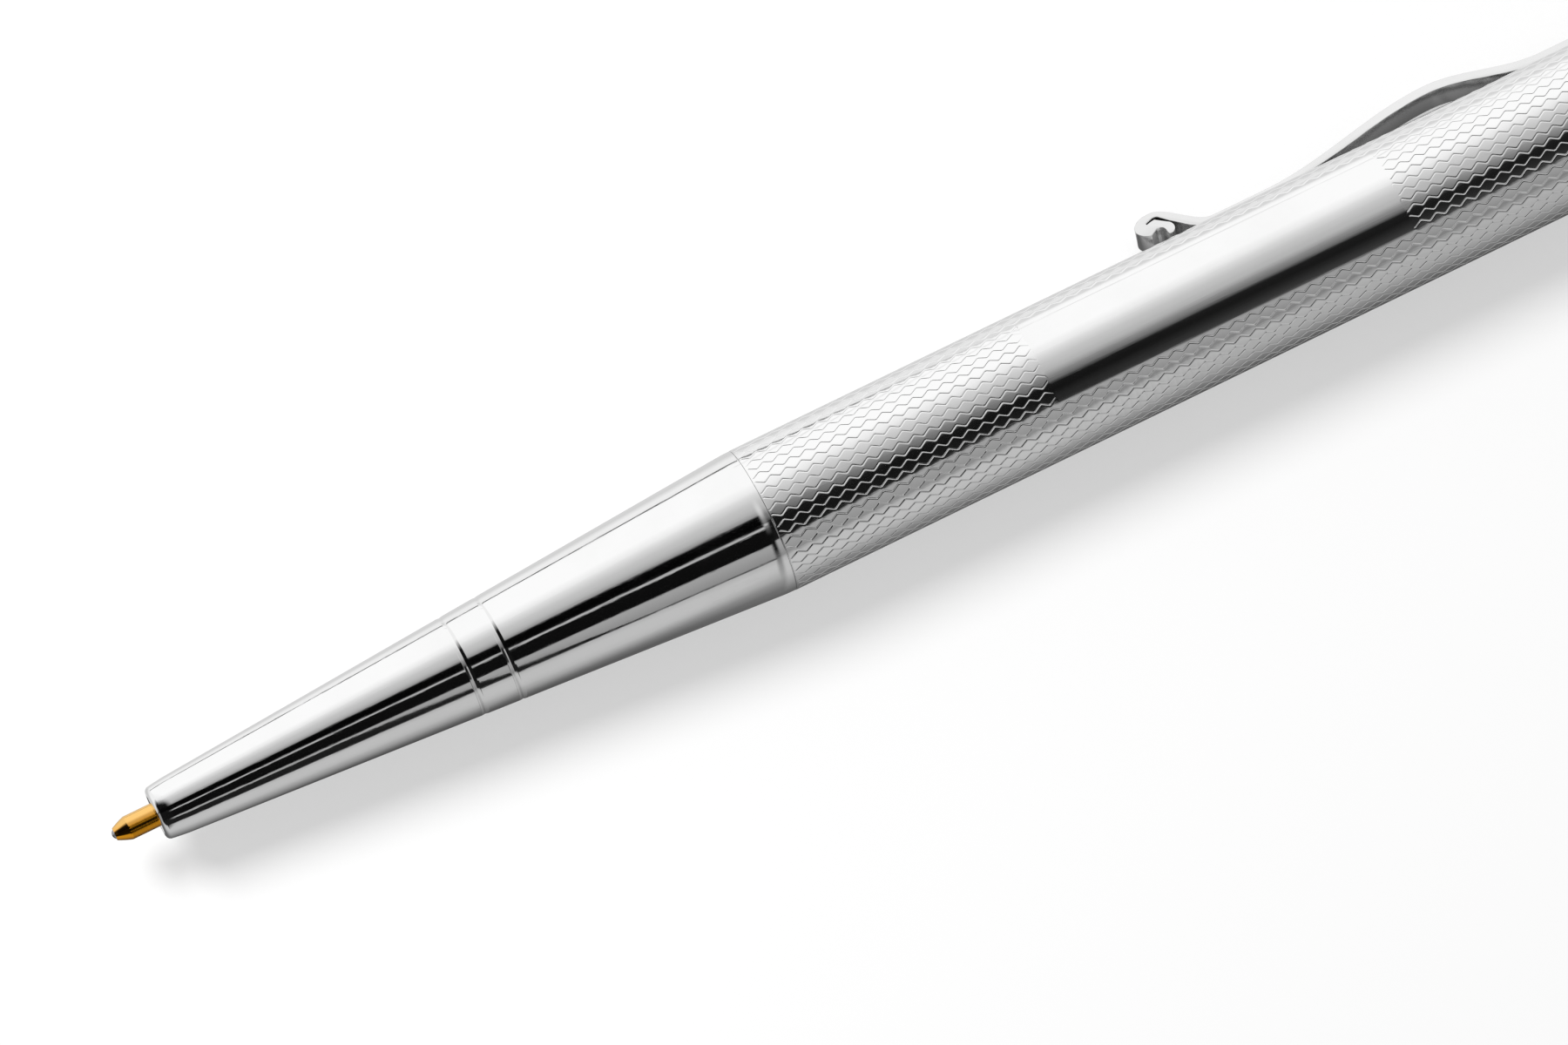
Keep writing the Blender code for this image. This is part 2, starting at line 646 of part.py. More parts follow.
def clip_thickness(distance):
    """How thick the strip is, straight out from the axis, this far forward of its tongue."""
    for (start, first), (end, last) in zip(CLIP_THICKNESSES, CLIP_THICKNESSES[1:]):
        if distance <= end:
            break
    return first + (last - first) * (distance - start) / (end - start)


def clip_contact(distance):
    """A place on the strip's outer face where its inner face lies along the barrel."""
    return distance, CLIP_FOOT + clip_thickness(distance)


def forward(places):
    """The x of (distance, radius) places on the clip, counted from its tongue."""
    return [(-distance, radius) for distance, radius in places]


def clip_sections():
    """Pairs of (x, radius) places on the strip's outer and inner face, from tongue to end."""
    half = TONGUE_THICKNESS / 2
    middle = CLIP_BEND_MIDDLE - CLIP_BEND
    outer = [(half, CLIP_TONGUE_RADIUS)]
    inner = [(-half, CLIP_TONGUE_RADIUS)]
    for face, reach in ((outer, CLIP_BEND + half), (inner, CLIP_BEND - half)):
        face += arc(-CLIP_BEND, middle, reach, reach, 0, math.pi / 2, CLIP_BEND_POINTS)

    rear, front = clip_contact(CLIP_REAR_CONTACT), clip_contact(CLIP_FRONT_CONTACT)
    lift = clip_contact(CLIP_LIFT)
    line = [clip_contact(CLIP_FULL_THICKNESS), rear]
    line += eased(rear, CLIP_PEAK, CLIP_WAVE_POINTS)
    line += eased(CLIP_PEAK, front, CLIP_WAVE_POINTS)
    line += [lift] + eased(lift, CLIP_TOP, CLIP_WAVE_POINTS)
    outer += forward(line)
    inner += forward((place, radius - clip_thickness(place)) for place, radius in line)

    outer += arc(
        -FOLD_MIDDLE, CLIP_TOP[1] - FOLD_HALF_HEIGHT, FOLD_HALF_LENGTH, FOLD_HALF_HEIGHT,
        math.pi / 2, FOLD_END_ANGLE, CLIP_FOLD_POINTS,
    )
    inner += arc(
        -SLIT_END[0], SLIT_END[1], SLIT_WIDTH / 2, SLIT_WIDTH / 2, math.pi / 2, 3 * math.pi / 2,
        CLIP_FOLD_POINTS,
    )
    outer += forward(RETURN_OUTER)
    inner += forward(RETURN_INNER)
    outer += arc(
        -CURL_OUTER_MIDDLE[0], CURL_OUTER_MIDDLE[1], CURL_OUTER_HALF_LENGTH,
        CURL_OUTER_HALF_HEIGHT, math.pi / 2, 0, CLIP_CURL_POINTS,
    )
    inner += arc(
        -CURL_MIDDLE[0], CURL_MIDDLE[1], CURL_HALF_LENGTH, CURL_HALF_HEIGHT, CURL_START_ANGLE,
        CURL_END_ANGLE, CLIP_CURL_POINTS,
    )
    return list(zip(outer, inner))


def pocket_clip(parts, material):
    """The clip: its outline drawn as a chain of sections and carried across its width."""
    body = bmesh.new()
    rings = []
    for (outer_x, outer), (inner_x, inner) in clip_sections():
        corners = ((outer_x, -1, outer), (outer_x, 1, outer), (inner_x, 1, inner), (inner_x, -1, inner))
        rings.append([body.verts.new((x, side * CLIP_WIDTH / 2, z)) for x, side, z in corners])
    for near, far in zip(rings, rings[1:]):
        for i in range(len(near)):
            j = (i + 1) % len(near)
            body.faces.new((near[i], near[j], far[j], far[i]))
    body.faces.new(rings[0])
    body.faces.new(rings[-1])
    bmesh.ops.recalc_face_normals(body, faces=body.faces)
    mesh = bpy.data.meshes.new("pocket_clip")
    body.to_mesh(mesh)
    body.free()
    clip = add_object("pocket_clip", mesh, parts, material)
    clip.location = from_tongue(0)
    clip.rotation_euler.x = -(math.pi / 2 + CLIP_DROP_ANGLE)
    return clip


def main():
    for thing in list(bpy.data.objects):
        bpy.data.objects.remove(thing)
    parts = bpy.data.collections.new(OBJECT_NAME)
    cutters = bpy.data.collections.new("cutters")
    bpy.context.scene.collection.children.link(parts)
    bpy.context.scene.collection.children.link(cutters)

    silver = make_material("silver", (0.86, 0.85, 0.83), 1, 0.12)
    brass = make_material("brass", (0.72, 0.53, 0.24), 1, 0.28)
    steel = make_material("steel", (0.56, 0.57, 0.58), 1, 0.3)
    nickel = make_material("nickel_plate", (0.66, 0.64, 0.6), 1, 0.22)
    carbide = make_material("carbide", (0.3, 0.3, 0.31), 1, 0.15)
    nylon = make_material("nylon", (0.85, 0.84, 0.8), 0, 0.45)
    rubber = make_material("rubber", (0.02, 0.02, 0.02), 0, 0.6)

    barrel_parts(parts, silver, brass, nylon)
    cam_tube(parts, cutters, steel)
    rear_plug(parts, brass)
    crown_screw(parts, cutters, steel)
    clip_ring(parts, cutters, silver)
    crown_cap(parts, silver)
    pocket_clip(parts, silver)

    nose_shell(parts, silver)
    nose_insert(parts, brass)
    drive_sleeve(parts, cutters, brass)
    friction_ring(parts, rubber)
    retaining_ring(parts, steel)
    return_spring(parts, steel)

    refill_tip(parts, brass)
    writing_ball(parts, carbide)
    refill_tube(parts, nickel)
    refill_plug(parts, nylon)
    plunger(parts, cutters, brass)
    cross_pin(parts, steel)
    smooth(parts)


main()
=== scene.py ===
"""The finish of a slim ballpoint pen: polished silver, an engine-turned barrel, a brass point.

The pen's axis is the X axis with the writing end towards -X and the crown at the origin. It lies
on its barrel and on one corner of its clip's fold, with the clip towards +Y. Metres and radians.
"""

import math

import bmesh
import bpy
from mathutils import Matrix, Vector


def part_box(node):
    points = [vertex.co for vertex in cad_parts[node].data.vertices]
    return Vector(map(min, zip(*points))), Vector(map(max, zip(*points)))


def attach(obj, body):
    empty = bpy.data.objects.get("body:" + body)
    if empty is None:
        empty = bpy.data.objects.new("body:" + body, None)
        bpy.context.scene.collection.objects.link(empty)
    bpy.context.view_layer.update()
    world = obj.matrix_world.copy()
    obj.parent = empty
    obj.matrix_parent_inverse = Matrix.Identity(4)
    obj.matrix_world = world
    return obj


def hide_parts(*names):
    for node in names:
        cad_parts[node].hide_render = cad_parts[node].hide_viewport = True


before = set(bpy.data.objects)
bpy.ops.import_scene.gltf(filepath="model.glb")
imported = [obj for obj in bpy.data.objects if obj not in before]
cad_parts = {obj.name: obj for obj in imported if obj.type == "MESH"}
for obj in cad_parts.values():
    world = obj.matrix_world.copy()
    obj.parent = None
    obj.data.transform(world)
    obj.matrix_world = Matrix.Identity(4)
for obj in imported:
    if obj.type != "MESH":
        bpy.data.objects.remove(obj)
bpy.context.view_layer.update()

WELD_DISTANCE = 0.000001
SMOOTH_ANGLE = math.radians(20)

# How many sides the turned pieces have
CONE_SIDES = 256
CROWN_SIDES = 192
POINT_SIDES = 96
BALL_SIDES = 48

# Where the turned pieces start and end along the pen
NOSE_FRONT, NOSE_REAR = (corner[0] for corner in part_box("nose_shell"))
BARREL_FRONT, BARREL_REAR = (corner[0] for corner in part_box("barrel_shell"))
RING_FRONT, RING_REAR = (corner[0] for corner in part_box("clip_ring"))
CROWN_FRONT, CROWN_REAR = (corner[0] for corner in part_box("crown_cap"))
POINT_FRONT, POINT_REAR = (corner[0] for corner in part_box("refill_tip"))
BALL_FRONT, BALL_REAR = (corner[0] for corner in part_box("writing_ball"))

# Barrel
BARREL_RADIUS = 0.0055
BARREL_BORE = 0.00495
BARREL_EDGE = 0.00015
BARREL_FRONT_EDGE = 0.00004

# Engraving: zigzag lines along the barrel, each facing its neighbour, so that rows of diamonds
# stand between them
LINE_COUNT = 52
LINE_PITCH = math.tau * BARREL_RADIUS / LINE_COUNT
LINE_PERIOD = 0.00122
LINE_PERIODS = 67
LINE_SWING = 0.00015
LINE_TURN = 0.00006
LINE_PROFILE = (
    (-0.00012, 0), (-0.000085, 0.0000009), (-0.00003, 0.000012), (0, 0.000034),
    (0.00003, 0.000012), (0.000085, 0.0000009), (0.00012, 0),
)
LINE_END = 0.00005
PIT_DEPTH = 0.00003
PLAIN_LIP = 0.0001

# The plain rectangle that is left in the engraving
PANEL_LINES = 12
PANEL_FIRST_PERIOD = 18
PANEL_PERIODS = 23.5
PANEL_BORDER = 0.00034
PANEL_STRIPS = 24
PANEL_RIM = 0.00015
PANEL_MIDDLE_ANGLE = math.radians(110)
PANEL_SLOT = 1

# Nose cone
NOSE_FRONT_RADIUS = 0.00207
NOSE_BORE = 0.0011
NOSE_BORE_LENGTH = 0.005
NOSE_CHAMBER = 0.00175
NOSE_INSERT_FRONT = 0.014
NOSE_WALL = 0.0006
NOSE_FRONT_EDGE = 0.0004
NOSE_FRONT_BEND = 0.002
NOSE_FRONT_DROP = 0.0001
NOSE_FRONT_STEPS = 10
NOSE_SEAM = 0.00001
NOSE_REAR_EDGE = 0.00004
NOSE_SHOULDER_LENGTH = 0.001
NOSE_SHOULDER_STEPS = 16
NOSE_GROOVES = (0.02416, 0.02706)
NOSE_GROOVE_REACH = 0.00032
NOSE_GROOVE_DEPTH = 0.000045
NOSE_GROOVE_STEPS = 10

# Refill point and ball
POINT_NECK = 0.00089
POINT_FRONT_RADIUS = 0.00046
POINT_CONE = 0.00105
POINT_CONE_BULGE = 0.00003
POINT_CONE_STEPS = 12
POINT_EASE = 0.0001
POINT_FLANGE = 0.0015
POINT_FLANGE_LENGTH = 0.001
POINT_SPIGOT = 0.00125
POINT_SPIGOT_LENGTH = 0.003
POINT_BORE = 0.0004
POINT_BORE_LENGTH = 0.014
BALL_RADIUS = 0.0004
BALL_GAP = 0.00004

# Crown and clip ring
CROWN_DOME_LENGTH = 0.0019
CROWN_DOME_HEIGHT = 0.0021
CROWN_HOLE = 0.0012
CROWN_HOLE_DEPTH = 0.0019
RING_NOTCH_DEPTH = 0.0028

# Clip: a strip bent into a wave, its free end folded back on itself and curled. Its places are
# distances forward of its tongue, some with the radius there.
CLIP_WIDTH = 0.0021
CLIP_FOOT = BARREL_RADIUS + 0.0001
CLIP_BEND = 0.0006
CLIP_THICKNESSES = (
    (CLIP_BEND, 0.00058), (0.004, 0.00078), (0.018, 0.0008), (0.0265, 0.00074),
    (0.034, 0.00071), (0.0405, 0.00048), (0.0448, 0.00048), (0.0454, 0.00058),
    (0.0462, 0.00095), (0.0466, 0.00104), (0.0472, 0.001), (0.0477, 0.00092),
    (0.0481, 0.0007), (0.04835, 0.0005), (0.0487, 0.0005),
)
CLIP_TONGUE_RADIUS = 0.003
CLIP_FULL_THICKNESS = 0.004
CLIP_REAR_CONTACT = 0.018
CLIP_PEAK = (0.0265, 0.00816)
CLIP_FRONT_CONTACT = 0.0405
CLIP_LIFT = 0.0448
CLIP_TOP = (0.0487, 0.00856)
FOLD_MIDDLE = (0.04895, 0.00761)
FOLD_SIZE = (0.00132, 0.00095)
FOLD_END_ANGLE = math.radians(252)
SLIT_END = (0.04924, 0.00782)
SLIT_SIZE = (0.00005, 0.00005)
RETURN_OUTER = ((0.0491, 0.00689), (0.0488, 0.00706))
RETURN_INNER = ((0.0489, 0.00786), (0.0486, 0.0079))
CURL_OUTER_MIDDLE = (0.04862, 0.00645)
CURL_OUTER_SIZE = (0.0004, 0.00058)
CURL_MIDDLE = (0.04802, 0.00674)
CURL_SIZE = (0.00047, 0.00055)
CURL_START_ANGLE = math.radians(62)
CURL_END_ANGLE = math.radians(-110)
CLIP_DROP_ANGLE = math.radians(32.529)
CLIP_EDGE = 0.00012
CLIP_EDGE_ANGLE = math.radians(50)
CLIP_SMOOTH_ANGLE = math.radians(30)
# The clip's underside faces that get the darker silver, which is painted shade: their slot, tilt
# and reach
CLIP_SHADED_SLOT = 1
CLIP_SHADED_TILT = -0.3
CLIP_SHADED_END = 0.0486

# Camera: a long lens above the pen, leaning towards the writing end and turned so that the pen
# rises to the right
CAMERA_DISTANCE = 0.7
CAMERA_LEAN = math.radians(7)
PEN_SLANT = math.radians(25.87)
FRAME_WIDTH = 0.1118
FRAME_CENTRE = Vector((-0.0869, -0.0008, 0))
SENSOR_WIDTH = 36

# A black card that stands along the pen on its -Y side: the card's y and its (x, z) corners
CARD_SIDE = -0.25
CARD_OUTLINE = (
    (-0.35, 0.128), (-0.104, 0.128), (-0.1197, 0.1725), (-0.1381, 0.255), (-0.35, 0.255),
)

# Lamp, floor and room
LAMP_SIZE = 0.24
LAMP_POWER = 3.7
LAMP_AIM = Vector((-0.06, 0, 0))
LAMP_OFFSET = Vector((-0.24, 0.36, 0.5))
FLOOR_SIZE = 6
FLOOR_TONE = 0.55
FLOOR_GLOW = 0.42
ROOM_TONE = 0.45

# Finishes
SILVER_TONE = 0.95
# How deep the engraving's painted shade reaches, and the tint of that painted shade and of the
# handling haze
ENGRAVED_SHADE_DEPTH = 0.00004
HAZE_AND_SHADE_TINT = (0.97, 0.97, 0.968)
HAZE_RANGE = (0.42, 0.72)
RECESS_RANGE = (0.25, 1)
HAIRLINE_SCALES = (300, 9000, 9000)
HAIRLINE_RANGE = (0.52, 0.75)
HAIRLINE_HEIGHT = 0.0000006
POLISH_WAVE_SCALE = 900
POLISH_WAVE_SHARE = 1.6
POINT_LINE_HEIGHT = 0.000001
GRAIN_HEIGHT = 0.000003


# ---- Modelling --------------------------------------------------------------------------------

def begin(name):
    """Name the primitive just added, settle its place in its mesh and start to shape it."""
    thing = bpy.context.active_object
    thing.name = name
    thing.data.name = name
    bpy.ops.object.transform_apply(location=True, rotation=True, scale=True)
    bpy.ops.object.mode_set(mode="EDIT")
    return thing


def settle(thing, angle=SMOOTH_ANGLE):
    """Weld a shaped piece, turn its faces outwards and shade its round faces smooth."""
    bpy.ops.mesh.select_all(action="SELECT")
    bpy.ops.mesh.remove_doubles(threshold=WELD_DISTANCE)
    bpy.ops.mesh.normals_make_consistent(inside=False)
    bpy.ops.object.mode_set(mode="OBJECT")
    bpy.ops.object.shade_smooth_by_angle(angle=angle)
    bpy.ops.object.select_all(action="DESELECT")
    return thing


def pick(test, kind="verts"):
    """Select the points, edges or faces of the piece in hand that pass a test."""
    bpy.ops.mesh.select_all(action="DESELECT")
    mesh = bpy.context.edit_object.data
    shape = bmesh.from_edit_mesh(mesh)
    for part in getattr(shape, kind):
        if test(part):
            part.select = True
    if kind == "verts":
        shape.select_flush(True)
    bmesh.update_edit_mesh(mesh, loop_triangles=False, destructive=False)


def pull(step):
    """Extrude what is selected by a step."""
    bpy.ops.mesh.extrude_region_move(TRANSFORM_OT_translate={"value": step})


def draw_ring(here, there):
    """Extrude the selected ring from one (x, radius) place to the next."""
    pull((there[0] - here[0], 0, 0))
    if there[1]:
        size = there[1] / here[1]
        bpy.ops.transform.resize(value=(1, size, size), center_override=(there[0], 0, 0))
    else:
        bpy.ops.mesh.merge(type="CENTER")


def arc(centre_x, centre_radius, length, height, start, end, steps=8):
    """Places on an elliptical arc. An angle of 0 faces +X and a quarter turn faces outward."""
    return [
        (
            centre_x + length * math.cos(start + (end - start) * i / steps),
            centre_radius + height * math.sin(start + (end - start) * i / steps),
        )
        for i in range(steps + 1)
    ]


def turned_piece(name, outline, sides):
    """A piece turned about the pen's axis, its ring drawn out through (x, radius) places.

    An outline that ends on the axis is capped at both ends, and any other is a closed loop.
    """
    solid = outline[-1][1] == 0
    start = outline[0]
    bpy.ops.mesh.primitive_circle_add(
        vertices=sides, radius=start[1], location=(start[0], 0, 0),
        rotation=(0, math.pi / 2, 0),
    )
    thing = begin(name)
    here = start
    for there in outline[1:] + ([] if solid else [start]):
        draw_ring(here, there)
        here = there
    if solid:
        pick(lambda point: abs(point.co.x - start[0]) < WELD_DISTANCE
             and abs(math.hypot(point.co.y, point.co.z) - start[1]) < WELD_DISTANCE)
        bpy.ops.mesh.edge_face_add()
    return settle(thing)


def cone_radius(distance):
    """The nose cone's radius this far behind its front; its first stretch bends in a little."""
    share = distance / (NOSE_REAR - NOSE_FRONT)
    bend = max(1 - distance / NOSE_FRONT_BEND, 0)
    straight = NOSE_FRONT_RADIUS + (BARREL_RADIUS - NOSE_FRONT_RADIUS) * share
    return straight - NOSE_FRONT_DROP * bend ** 2


def polished_cone():
    """The nose: a rounded mouth, a straight cone with two rolled grooves, an eased shoulder."""
    slope = (BARREL_RADIUS - NOSE_FRONT_RADIUS) / (NOSE_REAR - NOSE_FRONT)
    bend = 2 * NOSE_FRONT_DROP / NOSE_FRONT_BEND * (1 - NOSE_FRONT_EDGE / NOSE_FRONT_BEND)
    lean = math.atan(slope + bend)
    mouth = cone_radius(NOSE_FRONT_EDGE * (1 - math.sin(lean)))
    outline = arc(
        NOSE_FRONT + NOSE_FRONT_EDGE, mouth - NOSE_FRONT_EDGE * math.cos(lean), NOSE_FRONT_EDGE,
        NOSE_FRONT_EDGE, math.pi, math.pi / 2 + lean, 12,
    )
    for i in range(2, NOSE_FRONT_STEPS + 1):
        distance = NOSE_FRONT_BEND * i / NOSE_FRONT_STEPS
        outline.append((NOSE_FRONT + distance, cone_radius(distance)))
    for middle in NOSE_GROOVES:
        for i in range(-NOSE_GROOVE_STEPS, NOSE_GROOVE_STEPS + 1):
            distance = middle + NOSE_GROOVE_REACH * i / NOSE_GROOVE_STEPS
            depth = NOSE_GROOVE_DEPTH * (1 - abs(i) / NOSE_GROOVE_STEPS) ** 2
            outline.append((NOSE_FRONT + distance, cone_radius(distance) - depth))
    rear = BARREL_FRONT - NOSE_SEAM
    start = rear - NOSE_REAR_EDGE - NOSE_SHOULDER_LENGTH
    top = cone_radius(start - NOSE_FRONT)
    for i in range(NOSE_SHOULDER_STEPS + 1):
        run = NOSE_SHOULDER_LENGTH * i / NOSE_SHOULDER_STEPS
        outline.append((start + run, top + slope * run * (1 - run / NOSE_SHOULDER_LENGTH / 2)))
    outline += arc(
        rear - NOSE_REAR_EDGE, outline[-1][1] - NOSE_REAR_EDGE, NOSE_REAR_EDGE, NOSE_REAR_EDGE,
        math.pi / 2, 0, 6,
    )
    outline += [
        (rear, BARREL_RADIUS - NOSE_WALL),
        (NOSE_FRONT + NOSE_INSERT_FRONT, cone_radius(NOSE_INSERT_FRONT) - NOSE_WALL),
        (NOSE_FRONT + NOSE_INSERT_FRONT, NOSE_CHAMBER),
        (NOSE_FRONT + NOSE_BORE_LENGTH, NOSE_CHAMBER),
        (NOSE_FRONT + NOSE_BORE_LENGTH, NOSE_BORE),
    ]
    outline += arc(
        NOSE_FRONT + NOSE_WALL / 4, NOSE_BORE + NOSE_WALL / 4, NOSE_WALL / 4, NOSE_WALL / 4,
        3 * math.pi / 2, math.pi, 4,
    )
    return turned_piece("polished_cone", outline, CONE_SIDES)


def brass_point():
    """The refill's point, with its socket for the ball, bulged cone, neck, flange and spigot.

    A ring close behind the cone keeps the neck's shading straight.
    """
    ball_middle = (BALL_FRONT + BALL_REAR) / 2
    socket = BALL_RADIUS + BALL_GAP
    rim = math.acos((POINT_FRONT - ball_middle) / socket)
    flange = POINT_REAR - POINT_SPIGOT_LENGTH - POINT_FLANGE_LENGTH
    outline = [
        (POINT_REAR - POINT_BORE_LENGTH, POINT_BORE),
        (POINT_REAR, POINT_BORE),
        (POINT_REAR, POINT_SPIGOT),
        (POINT_REAR - POINT_SPIGOT_LENGTH, POINT_SPIGOT),
        (POINT_REAR - POINT_SPIGOT_LENGTH, POINT_FLANGE),
        (flange, POINT_FLANGE),
        (flange, POINT_NECK),
        (POINT_FRONT + POINT_CONE + POINT_EASE, POINT_NECK),
    ]
    for i in range(POINT_CONE_STEPS + 1):
        share = i / POINT_CONE_STEPS
        radius = POINT_NECK + (POINT_FRONT_RADIUS - POINT_NECK) * share
        bulge = POINT_CONE_BULGE * math.sin(math.pi * share)
        outline.append((POINT_FRONT + POINT_CONE * (1 - share), radius + bulge))
    outline += arc(ball_middle, 0, socket, socket, rim, 0, 10)[:-1]
    outline.append((ball_middle + socket, 0))
    return turned_piece("brass_point", outline, POINT_SIDES)


def point_ball():
    """The ball in the point."""
    middle = (BALL_FRONT + BALL_REAR) / 2
    ball = arc(middle, 0, BALL_RADIUS, BALL_RADIUS, 0, math.pi, 24)
    return turned_piece("point_ball", ball[1:-1] + [(middle - BALL_RADIUS, 0)], BALL_SIDES)


def domed_crown():
    """The crown: a dome round a flat face, drilled from inside for its screw."""
    outline = arc(
        CROWN_REAR - CROWN_DOME_LENGTH, BARREL_RADIUS - CROWN_DOME_HEIGHT, CROWN_DOME_LENGTH,
        CROWN_DOME_HEIGHT, 0, math.pi / 2, 24,
    )
    outline += arc(
        CROWN_FRONT + BARREL_EDGE, BARREL_RADIUS - BARREL_EDGE, BARREL_EDGE, BARREL_EDGE,
        math.pi / 2, math.pi,
    )
    outline += [
        (CROWN_FRONT, CROWN_HOLE),
        (CROWN_FRONT + CROWN_HOLE_DEPTH, CROWN_HOLE),
        (CROWN_FRONT + CROWN_HOLE_DEPTH, 0),
    ]
    return turned_piece("domed_crown", outline, CROWN_SIDES)


# ---- Engraved barrel --------------------------------------------------------------------------

def repeat(thing, step, count):
    """Copy a tile along a step and join the copies."""
    array = thing.modifiers.new("Repeat", "ARRAY")
    array.use_relative_offset = False
    array.use_constant_offset = True
    array.constant_offset_displace = step
    array.count = count
    array.use_merge_vertices = True
    array.merge_threshold = WELD_DISTANCE
    bpy.ops.object.modifier_apply(modifier=array.name)


def wave(x):
    """How far a line has swung at this x of the flat sheet, from -1 to 1."""
    along = abs((x / LINE_PERIOD + 0.5) % 1 - 0.5) * LINE_PERIOD
    blunt = LINE_PERIOD / 2 - 2 * LINE_TURN
    return 1 - 2 * min(max((along - LINE_TURN) / blunt, 0), 1)


def facing(z):
    """1 or -1 for the line nearest to this height of the flat sheet: neighbours face."""
    return 1 if round(z / LINE_PITCH - 0.5) % 2 == 0 else -1


def diamond_tile():
    """One period of two lines, flat: X along the pen, Z round it and +Y into the metal."""
    columns = [LINE_TURN, LINE_PERIOD / 2 - LINE_TURN, LINE_PERIOD / 2 + LINE_TURN]
    columns.append(LINE_PERIOD - LINE_TURN)
    rows = [(LINE_PROFILE[-1][0] - LINE_PITCH / 2, 0)]
    for middle in (LINE_PITCH / 2, 3 * LINE_PITCH / 2):
        rows += [(middle + across, depth) for across, depth in LINE_PROFILE]
    bpy.ops.mesh.primitive_plane_add(
        size=1, location=(0, 0, (rows[0][0] + rows[1][0]) / 2), rotation=(math.pi / 2, 0, 0)
    )
    bpy.context.active_object.scale = (2 * LINE_TURN, rows[1][0] - rows[0][0], 1)
    tile = begin("engraved_barrel")
    pick(lambda point: point.co.x > 0)
    for here, there in zip(columns, columns[1:]):
        pull((there - here, 0, 0))
    pick(lambda point: point.co.z > (rows[0][0] + rows[1][0]) / 2)
    for here, there in zip(rows[1:], rows[2:]):
        pull((0, there[1] - here[1], there[0] - here[0]))
    bpy.ops.object.mode_set(mode="OBJECT")
    return tile


def sink_line_ends(ends):
    """End each line in a small pit before the plain metal at these x places of the sheet."""
    for x, side in ends:
        pit = x - side * LINE_END
        bpy.ops.mesh.select_all(action="SELECT")
        bpy.ops.mesh.bisect(plane_co=(pit, 0, 0), plane_no=(1, 0, 0))
        pick(lambda point: abs(point.co.x - pit) < WELD_DISTANCE and point.co.y > WELD_DISTANCE)
        bpy.ops.transform.translate(value=(0, PIT_DEPTH, 0))


def flatten(test):
    """Bring the points that pass a test up to the face of the sheet."""
    pick(test)
    bpy.ops.transform.resize(value=(1, 0, 1), center_override=(0, 0, 0))


def plain_panel(thing, x_range, z_range):
    """Fill the rectangle left in the sheet and cut it into even strips for the wrap."""
    low, high = x_range
    foot, top = z_range
    inside = (
        lambda point: low - WELD_DISTANCE < point.co.x < high + WELD_DISTANCE
        and foot - LINE_SWING < point.co.z < top + LINE_SWING
    )
    pick(lambda edge: edge.is_boundary and all(inside(point) for point in edge.verts), "edges")
    bpy.ops.mesh.edge_face_add()
    thing.active_material_index = PANEL_SLOT
    bpy.ops.object.material_slot_assign()
    foot += PANEL_BORDER
    top -= PANEL_BORDER
    cuts = [((0, 0, foot), (0, 0, 1)), ((0, 0, top), (0, 0, 1))]
    cuts += [((low + PANEL_RIM, 0, 0), (1, 0, 0)), ((high - PANEL_RIM, 0, 0), (1, 0, 0))]
    for i in range(1, PANEL_STRIPS):
        cuts.append(((0, 0, foot + (top - foot) * i / PANEL_STRIPS), (0, 0, 1)))
    for place, direction in cuts:
        bpy.ops.mesh.select_all(action="DESELECT")
        bpy.ops.object.material_slot_select()
        bpy.ops.mesh.bisect(plane_co=place, plane_no=direction)
        if place[2] in (foot, top):
            pick(
                lambda face: face.material_index == PANEL_SLOT
                and not foot < face.calc_center_median().z < top,
                "faces",
            )
            thing.active_material_index = 0
            bpy.ops.object.material_slot_assign()
            thing.active_material_index = PANEL_SLOT


